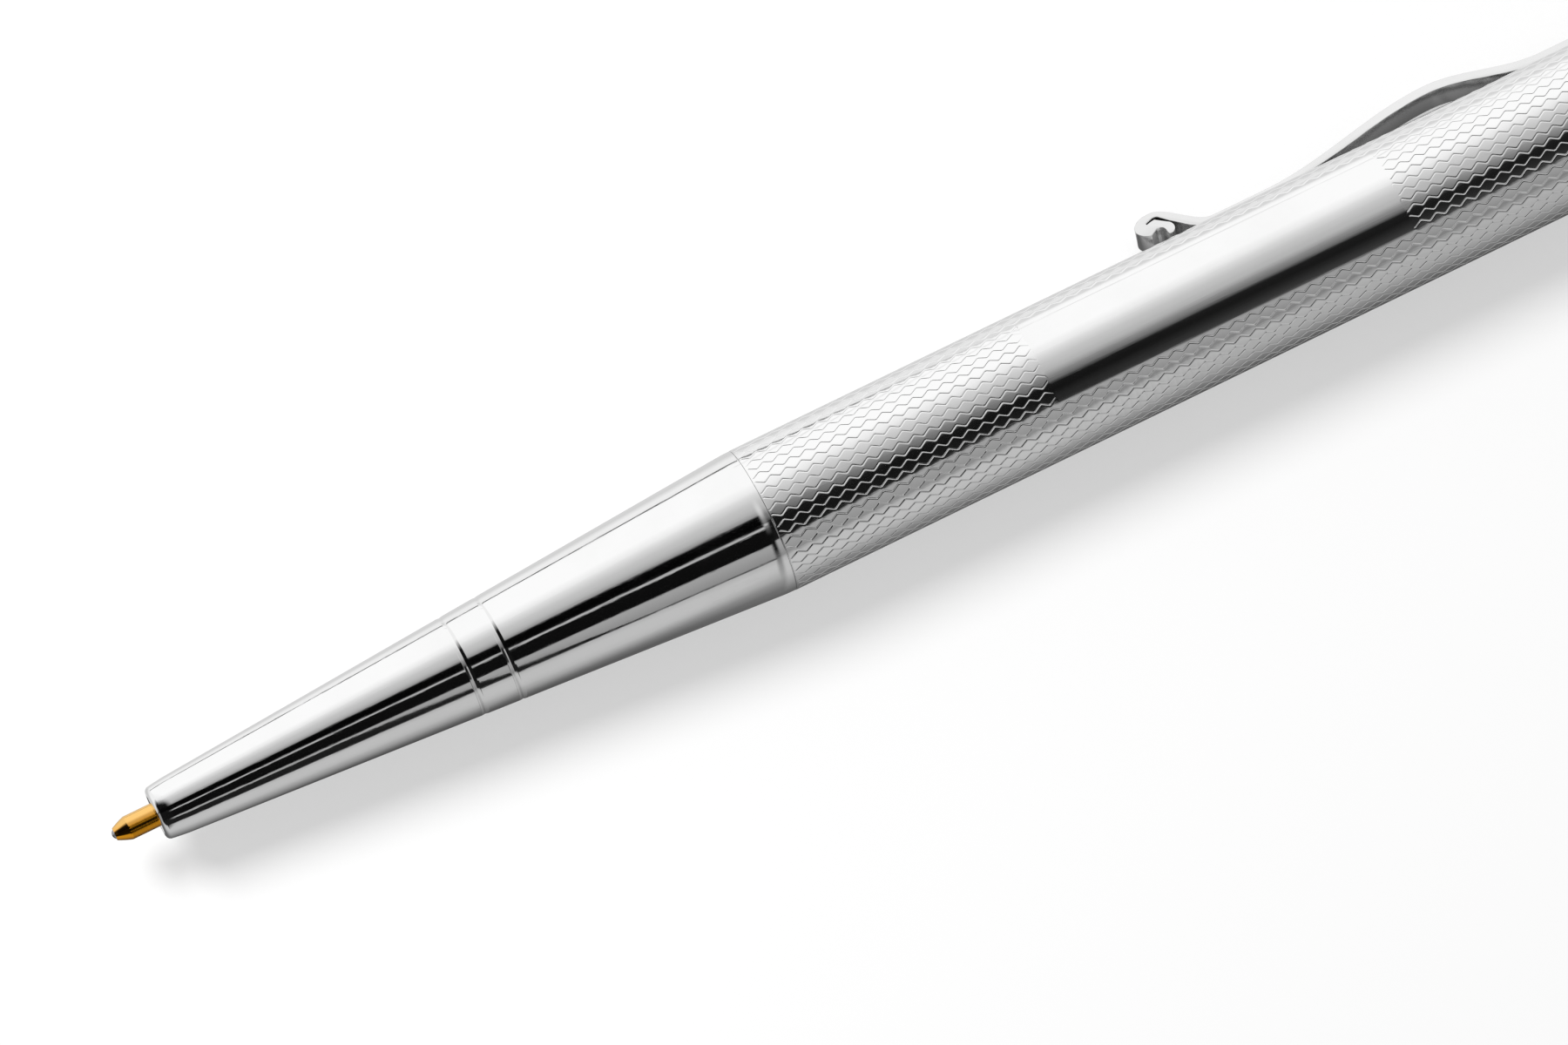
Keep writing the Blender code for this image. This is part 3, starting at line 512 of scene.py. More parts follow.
def engraved_barrel(engraved, plain):
    """The barrel: the engraving is worked on a flat sheet that is then wrapped into a tube."""
    # The sheet, its lines still straight
    thing = diamond_tile()
    thing.data.materials.append(engraved)
    thing.data.materials.append(plain)
    repeat(thing, (LINE_PERIOD, 0, 0), LINE_PERIODS)
    repeat(thing, (0, 0, 2 * LINE_PITCH), LINE_COUNT // 2)

    # The ends of the lines, and the rectangle that is left out
    sheet_front = -LINE_TURN
    sheet_rear = LINE_PERIODS * LINE_PERIOD - LINE_TURN
    low = PANEL_FIRST_PERIOD * LINE_PERIOD - LINE_TURN
    high = low + PANEL_PERIODS * LINE_PERIOD
    middle = PANEL_MIDDLE_ANGLE * BARREL_RADIUS
    first = round(middle / LINE_PITCH - 0.5 - PANEL_LINES / 2)
    foot = (first + 0.5) * LINE_PITCH
    top = foot + PANEL_LINES * LINE_PITCH
    shoulder = LINE_PROFILE[-1][0] - WELD_DISTANCE

    bpy.ops.object.mode_set(mode="EDIT")
    sink_line_ends(((sheet_front, -1), (sheet_rear, 1), (low, 1), (high, -1)))
    flatten(lambda point: point.co.x < sheet_front + WELD_DISTANCE
            or point.co.x > sheet_rear - WELD_DISTANCE)
    flatten(lambda point: low - WELD_DISTANCE < point.co.x < high + WELD_DISTANCE
            and foot + shoulder < point.co.z < top - shoulder)
    bpy.ops.mesh.delete(type="FACE")

    # The lines' swing, and the plain panel
    swings = {round(wave(x), 3) for x in (0, LINE_PERIOD / 2, low - LINE_END)}
    for swing in swings:
        for side in (1, -1):
            pick(lambda point: abs(wave(point.co.x) - swing) < 0.01
                 and facing(point.co.z) == side)
            bpy.ops.transform.translate(value=(0, 0, side * swing * LINE_SWING))
    plain_panel(thing, (low, high), (foot, top))

    # The sheet goes to its place along the pen and is wrapped into a tube
    bpy.ops.mesh.select_all(action="SELECT")
    shift = middle - (foot + top) / 2
    front = BARREL_FRONT + PLAIN_LIP
    bpy.ops.transform.translate(value=(front - sheet_front, 0, shift))
    bpy.ops.object.mode_set(mode="OBJECT")
    wrap = thing.modifiers.new("Wrap", "SIMPLE_DEFORM")
    wrap.deform_method = "BEND"
    wrap.deform_axis = "X"
    wrap.angle = (math.tau * BARREL_RADIUS + 2 * LINE_SWING) / BARREL_RADIUS
    bpy.ops.object.modifier_apply(modifier=wrap.name)

    bpy.ops.object.mode_set(mode="EDIT")
    bpy.ops.mesh.select_all(action="SELECT")
    bpy.ops.transform.translate(value=(0, -BARREL_RADIUS, 0))
    bpy.ops.mesh.remove_doubles(threshold=WELD_DISTANCE)

    # The plain lips, the end faces and the bore
    rear = front + sheet_rear - sheet_front
    outline = [(front, BARREL_RADIUS)]
    outline += arc(
        BARREL_FRONT + BARREL_FRONT_EDGE, BARREL_RADIUS - BARREL_FRONT_EDGE, BARREL_FRONT_EDGE,
        BARREL_FRONT_EDGE, math.pi / 2, math.pi, 6,
    )
    outline += [(BARREL_FRONT, BARREL_BORE), (BARREL_REAR, BARREL_BORE)]
    outline += arc(
        BARREL_REAR - BARREL_EDGE, BARREL_RADIUS - BARREL_EDGE, BARREL_EDGE, BARREL_EDGE,
        0, math.pi / 2, 6,
    )
    outline.append((rear, BARREL_RADIUS))
    pick(lambda point: point.co.x < front + WELD_DISTANCE)
    for here, there in zip(outline, outline[1:]):
        draw_ring(here, there)
    return settle(thing)


# ---- Clip -------------------------------------------------------------------------------------

def eased(start, end, steps=32):
    """Places on an S-bend between two (x, height) places, level at both ends."""
    places = []
    for i in range(1, steps + 1):
        share = i / steps
        blend = share * share * (3 - 2 * share)
        places.append(
            (start[0] + (end[0] - start[0]) * share, start[1] + (end[1] - start[1]) * blend)
        )
    return places


def clip_thickness(distance):
    """How thick the strip is, straight out from the axis, this far forward of its tongue."""
    for (start, first), (end, last) in zip(CLIP_THICKNESSES, CLIP_THICKNESSES[1:]):
        if distance <= end:
            break
    return first + (last - first) * (distance - start) / (end - start)


def clip_contact(distance):
    """A place on the strip's outer face where its inner face lies along the barrel."""
    return distance, CLIP_FOOT + clip_thickness(distance)


def forward(places):
    """The x of (distance, radius) places on the clip, counted from its tongue."""
    return [(-distance, radius) for distance, radius in places]


def clip_round(middle, size, start, end, steps=16):
    """Places on a round of the clip."""
    return arc(-middle[0], middle[1], *size, start, end, steps)


def clip_outline():
    """The strip's outline from its tongue along its outer face to its end, and back."""
    half = CLIP_THICKNESSES[0][1] / 2
    bend = (CLIP_BEND, CLIP_FOOT + half - CLIP_BEND)
    quarter = math.pi / 2
    outer = [(half, CLIP_TONGUE_RADIUS)]
    outer += clip_round(bend, (CLIP_BEND + half,) * 2, 0, quarter)
    inner = [(-half, CLIP_TONGUE_RADIUS)]
    inner += clip_round(bend, (CLIP_BEND - half,) * 2, 0, quarter)

    rear, front = clip_contact(CLIP_REAR_CONTACT), clip_contact(CLIP_FRONT_CONTACT)
    lift = clip_contact(CLIP_LIFT)
    line = [clip_contact(CLIP_FULL_THICKNESS), rear]
    line += eased(rear, CLIP_PEAK)
    line += eased(CLIP_PEAK, front)
    line += [lift] + eased(lift, CLIP_TOP)
    outer += forward(line)
    inner += forward((place, radius - clip_thickness(place)) for place, radius in line)

    outer += clip_round(FOLD_MIDDLE, FOLD_SIZE, quarter, FOLD_END_ANGLE, 32)
    inner += clip_round(SLIT_END, SLIT_SIZE, quarter, 3 * quarter, 8)
    outer += forward(RETURN_OUTER)
    inner += forward(RETURN_INNER)
    outer += clip_round(CURL_OUTER_MIDDLE, CURL_OUTER_SIZE, quarter, 0)
    inner += clip_round(CURL_MIDDLE, CURL_SIZE, CURL_START_ANGLE, CURL_END_ANGLE, 24)
    return outer + inner[::-1]


def clip_place(height):
    """Where the strip's tongue is at this distance from the axis."""
    return Vector((
        (RING_FRONT + RING_REAR) / 2, height * math.cos(CLIP_DROP_ANGLE),
        -height * math.sin(CLIP_DROP_ANGLE),
    ))


def turn_to_clip(thing, height):
    """Turn a piece drawn upright to the clip's side, its foot this far from the pen's axis."""
    thing.location = clip_place(height)
    thing.rotation_euler.x = -(math.pi / 2 + CLIP_DROP_ANGLE)


def strip_clip(bright, dull_and_shaded):
    """The clip: its outline drawn and filled, carried across its width, its edges rounded.

    Its underside, as far as the fold, has a duller silver that is darkened as painted shade.
    """
    outline = clip_outline()
    bpy.ops.mesh.primitive_plane_add(
        size=CLIP_WIDTH, location=(outline[0][0], -CLIP_WIDTH / 2, outline[0][1])
    )
    clip = begin("strip_clip")
    bpy.ops.mesh.merge(type="CENTER")
    for here, there in zip(outline, outline[1:]):
        pull((there[0] - here[0], 0, there[1] - here[1]))
    bpy.ops.mesh.select_all(action="SELECT")
    bpy.ops.mesh.edge_face_add()
    pull((0, CLIP_WIDTH, 0))
    bpy.ops.mesh.select_all(action="SELECT")
    bpy.ops.mesh.normals_make_consistent(inside=False)
    clip.data.materials.append(bright)
    clip.data.materials.append(dull_and_shaded)
    # Faces that look down, short of the curl's end, get the darker silver: painted shade
    pick(
        lambda face: face.normal.z < CLIP_SHADED_TILT
        and -face.calc_center_median().x < CLIP_SHADED_END,
        "faces",
    )
    clip.active_material_index = CLIP_SHADED_SLOT
    bpy.ops.object.material_slot_assign()
    bpy.ops.object.mode_set(mode="OBJECT")
    edge = clip.modifiers.new("Edge", "BEVEL")
    edge.width = CLIP_EDGE
    edge.segments = 3
    edge.limit_method = "ANGLE"
    edge.angle_limit = CLIP_EDGE_ANGLE
    bpy.ops.object.modifier_apply(modifier=edge.name)
    turn_to_clip(clip, 0)
    bpy.ops.object.transform_apply(location=True, rotation=True, scale=True)
    bpy.ops.object.mode_set(mode="EDIT")
    return settle(clip, CLIP_SMOOTH_ANGLE)


def clip_collar():
    """The ring between barrel and crown, its edges eased, notched for the clip's tongue."""
    ease = BARREL_EDGE / 2
    outline = arc(RING_FRONT + ease, BARREL_RADIUS - ease, ease, ease, math.pi, math.pi / 2, 4)
    outline += arc(RING_REAR - ease, BARREL_RADIUS - ease, ease, ease, math.pi / 2, 0, 4)
    outline += [(RING_REAR, CROWN_HOLE), (RING_FRONT, CROWN_HOLE)]
    collar = turned_piece("clip_collar", outline, CROWN_SIDES)
    gap = 3 * BARREL_EDGE
    bpy.ops.mesh.primitive_cube_add(size=1)
    notch = bpy.context.active_object
    notch.scale = (3 * (RING_REAR - RING_FRONT), CLIP_WIDTH + gap, 2 * RING_NOTCH_DEPTH)
    turn_to_clip(notch, BARREL_RADIUS)
    bpy.context.view_layer.objects.active = collar
    cut = collar.modifiers.new("Notch", "BOOLEAN")
    cut.operation = "DIFFERENCE"
    cut.object = notch
    bpy.ops.object.modifier_apply(modifier=cut.name)
    bpy.data.objects.remove(notch)
    collar.select_set(True)
    bpy.ops.object.shade_smooth_by_angle(angle=SMOOTH_ANGLE)
    bpy.ops.object.select_all(action="DESELECT")
    return collar


# ---- Materials --------------------------------------------------------------------------------

def put(tree, kind, inputs=None, **settings):
    """Add a node, set its options, and set or link its inputs."""
    made = tree.nodes.new(kind)
    for name, value in settings.items():
        setattr(made, name, value)
    for name, value in (inputs or {}).items():
        if isinstance(value, bpy.types.NodeSocket):
            tree.links.new(value, made.inputs[name])
        else:
            made.inputs[name].default_value = value
    return made


def grey(light):
    """A colour without a tint."""
    return light, light, light, 1


def calculate(tree, operation, first, second=0.0, third=0.0):
    """One step of arithmetic."""
    values = {0: first, 1: second, 2: third}
    return put(tree, "ShaderNodeMath", values, operation=operation).outputs[0]


def stretch(tree, value, start, end, low=0.0, high=1.0):
    """A value's run from start to end, made to run from low to high and held beyond."""
    return put(
        tree, "ShaderNodeMapRange",
        {"Value": value, "From Min": start, "From Max": end, "To Min": low, "To Max": high},
    ).outputs["Result"]


def mix_colours(tree, share, first, second, blend="MIX"):
    """Two colours mixed by a share."""
    return put(
        tree, "ShaderNodeMix", {"Factor": share, "A": first, "B": second},
        data_type="RGBA", blend_type=blend,
    ).outputs["Result"]


def place_on_piece(tree):
    """Where a point is on its piece, in metres."""
    return put(tree, "ShaderNodeTexCoord").outputs["Object"]


def new_group(name, inputs, outputs):
    """A node group with named inputs and outputs, and the sockets inside it for each."""
    group = bpy.data.node_groups.new(name, "ShaderNodeTree")
    for label, value in inputs.items():
        socket = group.interface.new_socket(
            name=label, in_out="INPUT", socket_type="NodeSocketFloat"
        )
        socket.default_value = value
    for label in outputs:
        group.interface.new_socket(name=label, in_out="OUTPUT", socket_type="NodeSocketFloat")
    given = group.nodes.new("NodeGroupInput").outputs
    result = group.nodes.new("NodeGroupOutput").inputs
    return group, given, result


def hairline_group():
    """Fine polishing lines that run along the pen, and the soft waves of hand polishing."""
    group, given, result = new_group(
        "polishing lines", {"Fineness": 1, "Amount": 1}, ("Height", "Roughness")
    )
    place = place_on_piece(group)
    drawn = put(group, "ShaderNodeMapping", {"Vector": place, "Scale": HAIRLINE_SCALES})
    lines = put(
        group, "ShaderNodeTexNoise",
        {"Vector": drawn.outputs[0], "Scale": given["Fineness"], "Detail": 3},
    )
    waves = put(
        group, "ShaderNodeTexNoise", {"Vector": place, "Scale": POLISH_WAVE_SCALE, "Detail": 1}
    )
    streak = stretch(group, lines.outputs["Fac"], *HAIRLINE_RANGE)
    height = calculate(
        group, "MULTIPLY_ADD", waves.outputs["Fac"], POLISH_WAVE_SHARE, streak
    )
    for label, value in (("Height", height), ("Roughness", streak)):
        group.links.new(calculate(group, "MULTIPLY", value, given["Amount"]), result[label])
    return group


def haze_group():
    """Patches of handling haze, from faint to clear."""
    group, given, result = new_group(
        "handling haze", {"Patch Scale": 160, "Amount": 1}, ("Mask",)
    )
    place = place_on_piece(group)
    broad = put(
        group, "ShaderNodeTexNoise",
        {"Vector": place, "Scale": given["Patch Scale"], "Detail": 4, "Roughness": 0.6},
    )
    mask = stretch(group, broad.outputs["Fac"], *HAZE_RANGE)
    group.links.new(calculate(group, "MULTIPLY", mask, given["Amount"]), result["Mask"])
    return group


def recess_group():
    """How deep a point lies below a turned surface of a given radius, as a mask."""
    group, given, result = new_group(
        "recess", {"Radius": BARREL_RADIUS, "Depth": ENGRAVED_SHADE_DEPTH}, ("Mask",)
    )
    across = put(group, "ShaderNodeSeparateXYZ", {0: place_on_piece(group)}).outputs
    square = calculate(group, "MULTIPLY", across["Z"], across["Z"])
    square = calculate(group, "MULTIPLY_ADD", across["Y"], across["Y"], square)
    below = calculate(group, "SUBTRACT", given["Radius"], calculate(group, "SQRT", square))
    share = calculate(group, "DIVIDE", below, given["Depth"])
    group.links.new(stretch(group, share, *RECESS_RANGE), result["Mask"])
    return group


def turning_group():
    """Fine lines left by the lathe, which run round the pen's axis."""
    group, given, result = new_group(
        "turning lines", {"Lines per Metre": 12000, "Amount": 1}, ("Height", "Tone")
    )
    along = put(group, "ShaderNodeSeparateXYZ", {0: place_on_piece(group)}).outputs["X"]
    count = calculate(group, "MULTIPLY", along, given["Lines per Metre"])
    lines = put(
        group, "ShaderNodeTexNoise", {"W": count, "Scale": 1, "Detail": 2},
        noise_dimensions="1D",
    ).outputs["Fac"]
    group.links.new(calculate(group, "MULTIPLY", lines, given["Amount"]), result["Height"])
    group.links.new(lines, result["Tone"])
    return group


def place_group(tree, group, **values):
    """A group in a material, with that material's own values."""
    made = tree.nodes.new("ShaderNodeGroup")
    made.node_tree = group
    for label, value in values.items():
        made.inputs[label.replace("_", " ")].default_value = value
    return made


def new_material(name, metallic, roughness):
    """A material with its shader; the even values sit on the shader's own sockets."""
    material = bpy.data.materials.new(name)
    material.use_nodes = True
    tree = material.node_tree
    shader = tree.nodes["Principled BSDF"]
    shader.inputs["Metallic"].default_value = metallic
    shader.inputs["Roughness"].default_value = roughness
    return material, tree, shader


def two_tones(tree, shader, mask, plain, marked):
    """Base colour that goes from plain to marked with a mask."""
    tone = mix_colours(tree, mask, (*plain, 1), (*marked, 1))
    tree.links.new(tone, shader.inputs["Base Color"])


def two_gloss(tree, shader, mask, low, high):
    """Roughness that goes from low to high with a mask."""
    tree.links.new(stretch(tree, mask, 0, 1, low, high), shader.inputs["Roughness"])


def relief(tree, shader, height, distance):
    """A bump whose full height is this distance, in metres."""
    bump = put(tree, "ShaderNodeBump", {"Height": height, "Distance": distance, "Strength": 1})
    tree.links.new(bump.outputs["Normal"], shader.inputs["Normal"])


def silver_material(name, groups, roughness, tone, recess_radius=None):
    """Polished silver, hazed a little by handling, with painted shade deep in its engraving."""
    material, tree, shader = new_material(name, 1, roughness)
    marks = place_group(tree, groups["lines"], Fineness=1, Amount=1)
    haze = place_group(tree, groups["haze"], Patch_Scale=160, Amount=1)
    dull_and_shaded = haze.outputs["Mask"]
    # On the engraved silver the mask is how deep a point lies, and the tone darkens there as
    # painted shade
    if recess_radius:
        recess = place_group(
            tree, groups["recess"], Radius=recess_radius, Depth=ENGRAVED_SHADE_DEPTH
        )
        dull_and_shaded = recess.outputs["Mask"]
    two_tones(tree, shader, dull_and_shaded, [tone] * 3, [share * tone for share in HAZE_AND_SHADE_TINT])
    worn = calculate(tree, "MAXIMUM", marks.outputs["Roughness"], haze.outputs["Mask"])
    two_gloss(tree, shader, worn, 0.7 * roughness, 1.7 * roughness)
    relief(tree, shader, marks.outputs["Height"], HAIRLINE_HEIGHT)
    return material


def turned_metal(name, groups, plain, marked, roughness, lines, depth):
    """A lathe-turned metal with fine lines round it."""
    material, tree, shader = new_material(name, 1, roughness)
    turning = place_group(tree, groups["turning"], Lines_per_Metre=lines, Amount=1)
    haze = place_group(tree, groups["haze"], Patch_Scale=300, Amount=1)
    mask = calculate(tree, "MULTIPLY_ADD", haze.outputs["Mask"], 0.5, turning.outputs["Tone"])
    two_tones(tree, shader, mask, plain, marked)
    two_gloss(tree, shader, mask, 0.75 * roughness, 1.3 * roughness)
    relief(tree, shader, turning.outputs["Height"], depth)
    return material


def point_brass(groups):
    """The point's bright brass, turned like the rest; its upper side (+Y) is paler, a painted
    highlight.
    """
    material, tree, shader = new_material("point brass", 1, 0.1)
    across = put(tree, "ShaderNodeSeparateXYZ", {0: place_on_piece(tree)}).outputs["Y"]
    # The base colour is paler towards +Y and deeper orange towards -Y: painted light and shade
    side = stretch(tree, across, POINT_NECK / 2, 0)
    two_tones(tree, shader, side, (1, 0.61, 0.2), (1, 0.42, 0.02))
    turning = place_group(tree, groups["turning"], Lines_per_Metre=14000, Amount=1)
    two_gloss(tree, shader, turning.outputs["Tone"], 0.07, 0.12)
    relief(tree, shader, turning.outputs["Height"], POINT_LINE_HEIGHT)
    return material


def moulded_material(name, groups, plain, marked, roughness):
    """A moulded plastic or rubber with a faint grain."""
    material, tree, shader = new_material(name, 0, roughness)
    haze = place_group(tree, groups["haze"], Patch_Scale=900, Amount=1)
    grain = haze.outputs["Mask"]
    two_tones(tree, shader, grain, plain, marked)
    two_gloss(tree, shader, grain, 0.85 * roughness, 1.15 * roughness)
    relief(tree, shader, grain, GRAIN_HEIGHT)
    return material


def all_materials():
    """Every finish of the pen, by name."""
    groups = {
        "lines": hairline_group(),
        "haze": haze_group(),
        "recess": recess_group(),
        "turning": turning_group(),
    }
    return {
        "silver": silver_material("polished silver", groups, 0.05, SILVER_TONE),
        # The engraved silver is darker deep in its lines: painted shade
        "engraved": silver_material("engraved silver", groups, 0.05, SILVER_TONE, BARREL_RADIUS),
        "spring": silver_material("spring silver", groups, 0.12, 0.84),
        # Duller silver for the clip's underside; its darker tone is painted shade
        "dull_and_shaded": silver_material("dull silver", groups, 0.2, 0.46),
        "point": point_brass(groups),
        "ball": turned_metal(
            "ball carbide", groups, (0.5, 0.5, 0.52), (0.42, 0.42, 0.44), 0.12, 9000, 0.0000005
        ),
        "brass": turned_metal(
            "turned brass", groups, (0.8, 0.58, 0.26), (0.68, 0.47, 0.19), 0.26, 9000, 0.000003
        ),
        "steel": turned_metal(
            "turned steel", groups, (0.6, 0.6, 0.61), (0.48, 0.48, 0.5), 0.28, 8000, 0.000003
        ),
        "nickel": turned_metal(
            "satin nickel", groups, (0.7, 0.67, 0.62), (0.6, 0.57, 0.53), 0.24, 5000, 0.000002
        ),
        "nylon": moulded_material(
            "moulded nylon", groups, (0.83, 0.82, 0.78), (0.76, 0.75, 0.7), 0.45
        ),
        "rubber": moulded_material(
            "black rubber", groups, (0.02, 0.02, 0.02), (0.035, 0.035, 0.034), 0.62
        ),
    }


# ---- Studio -----------------------------------------------------------------------------------

def shown(level):
    """The light that a grey of 0 to 255 on screen stands for."""
    share = level / 255
    return share / 12.92 if share <= 0.04045 else ((share + 0.055) / 1.055) ** 2.4


def ramp(tree, turn, stops):
    """A grey ramp over the angle round the pen. Stops are (degrees, light)."""
    made = put(tree, "ShaderNodeValToRGB", {"Fac": turn})
    elements = made.color_ramp.elements
    for i, (degrees, light) in enumerate(sorted(stops)):
        place = (degrees + 90) / 360
        element = elements[i] if i < 2 else elements.new(place)
        element.position = place
        element.color = grey(light)
    return made.outputs["Color"]


def band(start, end, light, edge=0.7):
    """A flag or strip between two angles, with soft edges of this many degrees."""
    return [(start - edge, 1), (start, light), (end, light), (end + edge, 1)]


def big_boxes(tree, turn):
    """The light of the boxes, by the angle round the pen."""
    return ramp(tree, turn, [
        (degrees, shown(level)) for degrees, level in (
            (-90, 95), (-62, 99), (-54, 111), (-44, 125), (-31, 150), (-20, 168), (-11, 183),
            (0, 189), (15, 189), (24, 176), (28, 138), (43, 154), (53, 160), (76, 170),
            (83, 190), (84, 95), (90, 100), (97, 123), (106, 174), (112, 187), (119, 195),
            (131, 219), (137, 236), (150, 251), (198, 251), (208, 238), (218, 238),
            (234, 210), (270, 210),
        )
    ])


def flags_overhead(tree, turn, along):
    """How much of that light the flags let through, and above 1 where a lamp adds to it.

    The rays that a stretch of the pen mirrors share a slant along X, by its taper and its place
    under the camera. Each stretch has flags of its own, which fade in over a range of that X.
    """
    faint_line = band(192, 193, 0.75, 0.4)
    dark_line = band(203.9, 205.9, 0.03, 0.4)
    over_cone = ramp(tree, turn, band(25.4, 27.2, 0.2) + [
        (50.3, 1), (51.5, 0.01), (76.2, 0.01), (77, 1), (79.8, 1), (80.6, 0.01), (98, 0.01),
        (99.5, 1),
    ] + dark_line)
    over_point = ramp(tree, turn, [
        (-10, 0.7), (26, 0.45), (36, 0.15), (42, 0.02), (66, 0.01), (74, 0.15), (80, 0.5),
        (86, 1.6), (97, 2.2), (104, 1.6), (112, 1.3), (125, 1),
    ] + dark_line)
    over_seam = ramp(tree, turn, [
        (53, 1), (55, 0.02), (82, 0.015), (84.5, 0.03), (86.5, 0.35), (90, 1),
    ] + faint_line + dark_line)
    over_barrel = ramp(tree, turn, [
        (53, 1), (55, 0.06), (61, 0.035), (67, 0.025), (75, 0.012), (83.5, 0.012), (84.8, 0.05),
        (86.8, 0.25), (90, 1),
    ] + faint_line + band(206, 218, 0.82, 3))
    over_rear = ramp(tree, turn, [
        (-50, 0.8), (9, 0.77), (16, 0.86), (23, 0.74), (30, 0.84), (43, 1), (52, 0.9), (55, 0.12),
        (61, 0.085), (67, 0.05), (75, 0.022), (83.5, 0.02), (84.8, 0.08), (87, 0.5), (90, 1.2),
        (96, 1.3), (102, 1.18), (110, 1),
    ] + faint_line + band(208, 216, 0.78, 5))
    # The flags in front of the nose stand 27 degrees further round where the rays slant more
    flare = stretch(tree, along, -0.25, -0.16, -27 / 360, 0)
    over_front = ramp(tree, calculate(tree, "ADD", turn, flare), [
        (-5, 1), (2, 0.1), (12, 0.02), (98, 0.01), (103, 0.15), (125, 0.9), (190, 0.9),
    ])
    flags = grey(0.8)
    for start, end, further in (
        (-0.9, -0.75, over_front), (-0.2, -0.16, over_cone), (0.012, 0.038, over_point),
        (0.06, 0.085, over_seam), (0.124, 0.152, over_barrel), (0.15, 0.168, over_rear),
        (0.3, 0.42, grey(1)),
    ):
        flags = mix_colours(tree, stretch(tree, along, start, end), flags, further)
    return flags


def studio_world():
    """What the metal mirrors: a big box behind, a grey one in front, dark flags overhead.

    The light goes round the pen's axis, from straight down through the -Y horizon (0 degrees),
    the zenith (90) and the +Y horizon (180) to straight down again.
    """
    world = bpy.data.worlds.new("studio")
    bpy.context.scene.world = world
    world.use_nodes = True
    tree = world.node_tree
    tree.nodes.clear()
    ray = put(tree, "ShaderNodeTexCoord").outputs["Generated"]
    way = put(tree, "ShaderNodeSeparateXYZ", {0: ray}).outputs
    angle = calculate(tree, "ARCTAN2", way["Y"], way["Z"])
    turn = calculate(tree, "MULTIPLY_ADD", angle, 1 / math.tau, 0.5)
    mirrored = mix_colours(
        tree, 1.0, big_boxes(tree, turn), flags_overhead(tree, turn, way["X"]), "MULTIPLY"
    )
    rays = put(tree, "ShaderNodeLightPath").outputs
    room = mix_colours(tree, rays["Is Glossy Ray"], grey(ROOM_TONE), mirrored)
    seen = mix_colours(tree, rays["Is Camera Ray"], room, grey(1))
    strength = stretch(tree, rays["Is Glossy Ray"], 0, 1, 1, 1 / SILVER_TONE)
    background = put(tree, "ShaderNodeBackground", {"Color": seen, "Strength": strength})
    out = put(tree, "ShaderNodeOutputWorld")
    tree.links.new(background.outputs[0], out.inputs["Surface"])


def dark_card():
    """A black wedge, which only the polished metal mirrors."""
    x, z = CARD_OUTLINE[0]
    bpy.ops.mesh.primitive_plane_add(
        size=1, location=(x, CARD_SIDE, z), rotation=(math.pi / 2, 0, 0)
    )
    card = begin("dark_card")
    bpy.ops.mesh.merge(type="CENTER")
    for here, there in zip(CARD_OUTLINE, CARD_OUTLINE[1:]):
        pull((there[0] - here[0], 0, there[1] - here[1]))
    bpy.ops.mesh.select_all(action="SELECT")
    bpy.ops.mesh.edge_face_add()
    bpy.ops.object.mode_set(mode="OBJECT")
    material = bpy.data.materials.new("black card")
    material.use_nodes = True
    shader = material.node_tree.nodes["Principled BSDF"]
    shader.inputs["Base Color"].default_value = grey(0)
    shader.inputs["Roughness"].default_value = 1
    card.data.materials.append(material)
    card.visible_camera = False
    card.visible_diffuse = False
    card.visible_shadow = False


def pale_floor():
    """A white floor that keeps the pen's soft shadow."""
    bpy.ops.mesh.primitive_plane_add(size=FLOOR_SIZE, location=(0, 0, -BARREL_RADIUS))
    floor = bpy.context.active_object
    floor.name = "floor"
    material = bpy.data.materials.new("white floor")
    material.use_nodes = True
    tree = material.node_tree
    tree.nodes.clear()
    paper = put(tree, "ShaderNodeBsdfDiffuse", {"Color": grey(FLOOR_TONE)})
    glow = put(tree, "ShaderNodeEmission", {"Color": grey(1), "Strength": FLOOR_GLOW})
    both = put(tree, "ShaderNodeAddShader", {0: paper.outputs[0], 1: glow.outputs[0]})
    rays = put(tree, "ShaderNodeLightPath").outputs
    choice = put(
        tree, "ShaderNodeMixShader",
        {0: rays["Is Camera Ray"], 1: paper.outputs[0], 2: both.outputs[0]},
    )
    out = put(tree, "ShaderNodeOutputMaterial")
    tree.links.new(choice.outputs[0], out.inputs["Surface"])
    floor.data.materials.append(material)
    floor.visible_glossy = False


def soft_light():
    """One soft lamp behind the pen and to its left, for the shadow."""
    lamp = bpy.data.lights.new("soft lamp", "AREA")
    lamp.shape = "DISK"
    lamp.size = LAMP_SIZE
    lamp.energy = LAMP_POWER
    holder = bpy.data.objects.new("soft lamp", lamp)
    bpy.context.scene.collection.objects.link(holder)
    holder.location = LAMP_AIM + LAMP_OFFSET
    holder.rotation_euler = LAMP_OFFSET.to_track_quat("Z", "Y").to_euler()
    holder.visible_camera = False
    holder.visible_glossy = False


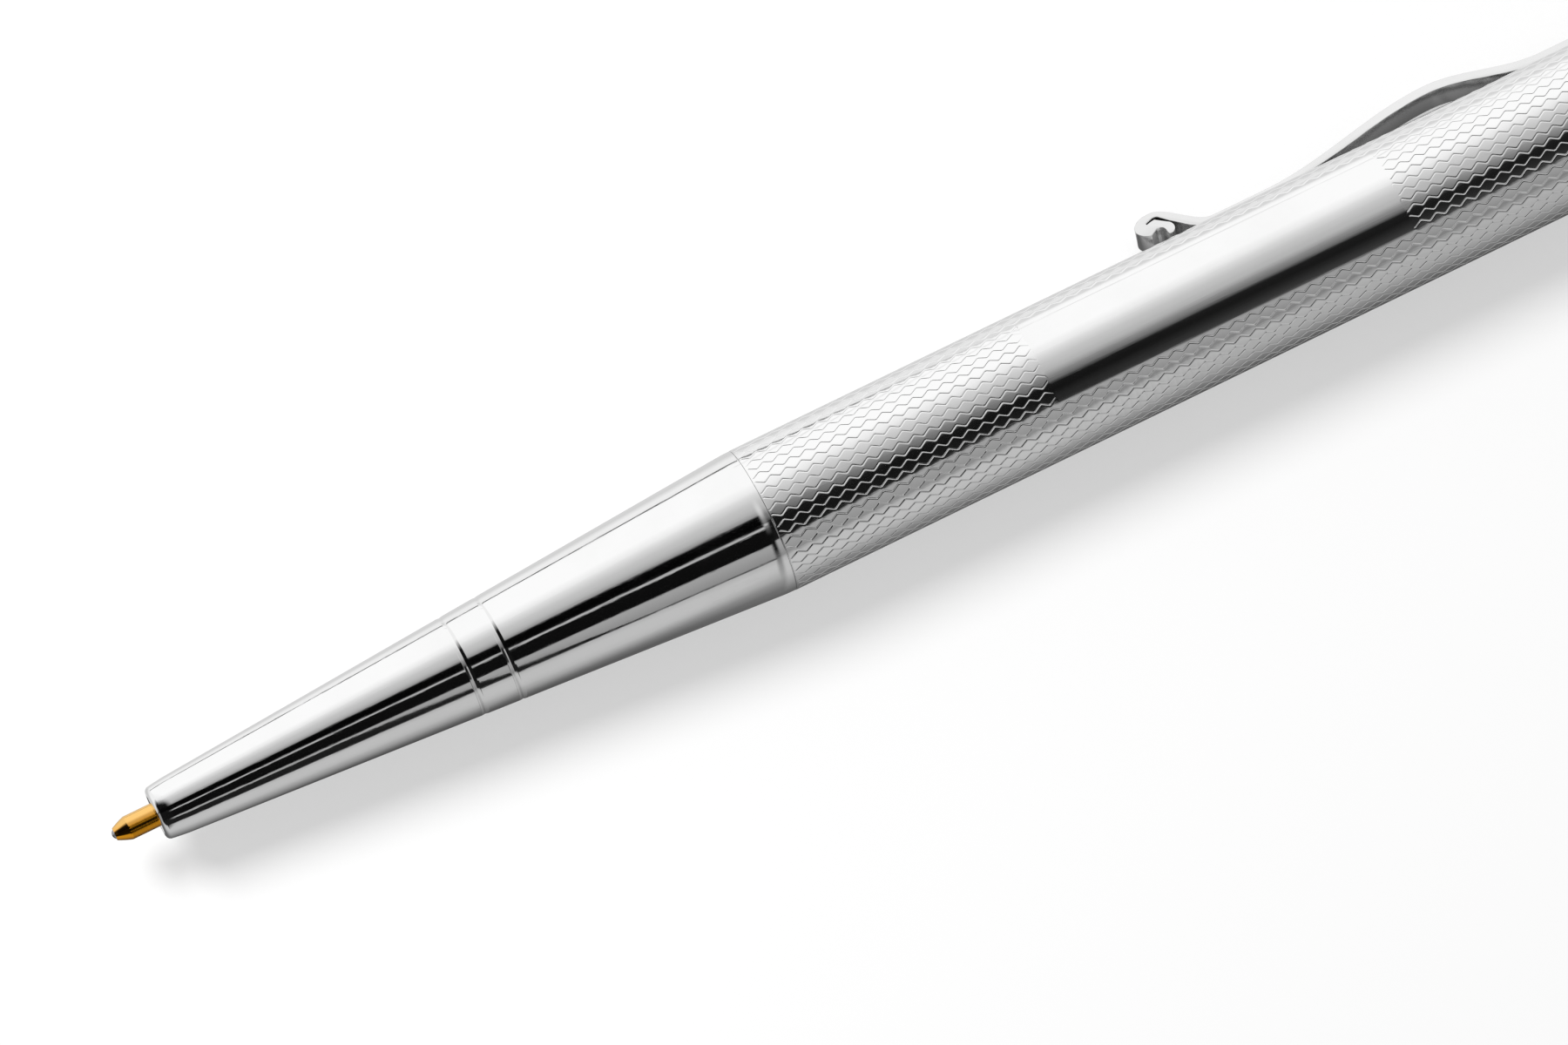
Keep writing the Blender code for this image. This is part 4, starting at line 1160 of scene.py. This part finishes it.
def photo_camera():
    """The camera, with the pen's tilt and place in the frame."""
    toward = Vector((-math.sin(CAMERA_LEAN), 0, math.cos(CAMERA_LEAN)))
    along = Vector((math.cos(CAMERA_LEAN), 0, math.sin(CAMERA_LEAN)))
    side = Vector((0, 1, 0))
    right = along * math.cos(PEN_SLANT) - side * math.sin(PEN_SLANT)
    up = along * math.sin(PEN_SLANT) + side * math.cos(PEN_SLANT)
    lens = bpy.data.cameras.new("camera")
    lens.sensor_width = SENSOR_WIDTH
    lens.lens = SENSOR_WIDTH * CAMERA_DISTANCE / FRAME_WIDTH
    holder = bpy.data.objects.new("camera", lens)
    bpy.context.scene.collection.objects.link(holder)
    place = Matrix((right, up, toward)).transposed().to_4x4()
    place.translation = FRAME_CENTRE + toward * CAMERA_DISTANCE
    holder.matrix_world = place
    bpy.context.scene.camera = holder


# ---- The pen ----------------------------------------------------------------------------------

bpy.ops.object.select_all(action="DESELECT")
finish = all_materials()

barrel = engraved_barrel(finish["engraved"], finish["silver"])
for piece, body, node, slot, material in (
    (barrel, "barrel", "barrel_shell", "silver", None),
    (clip_collar(), "barrel", "clip_ring", "silver", "silver"),
    (domed_crown(), "barrel", "crown_cap", "silver", "silver"),
    (strip_clip(finish["spring"], finish["dull_and_shaded"]), "clip", "pocket_clip", "silver", None),
    (polished_cone(), "nose", "nose_shell", "silver", "silver"),
    (brass_point(), "refill", "refill_tip", "brass", "point"),
    (point_ball(), "ball", "writing_ball", "carbide", "ball"),
):
    if material:
        piece.data.materials.append(finish[material])
    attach(piece, body)
    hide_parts(node)

for material, nodes in {
    "brass": ("barrel_core", "front_bush", "rear_plug", "nose_insert", "drive_sleeve", "plunger"),
    "steel": ("cam_tube", "crown_screw", "retaining_ring", "return_spring", "cross_pin"),
    "nickel": ("refill_tube",),
    "nylon": ("seam_washer", "refill_plug"),
    "rubber": ("friction_ring",),
}.items():
    for name in nodes:
        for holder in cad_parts[name].material_slots:
            holder.material = finish[material]

pale_floor()
dark_card()
soft_light()
studio_world()
photo_camera()
bpy.context.scene.view_settings.view_transform = "Standard"
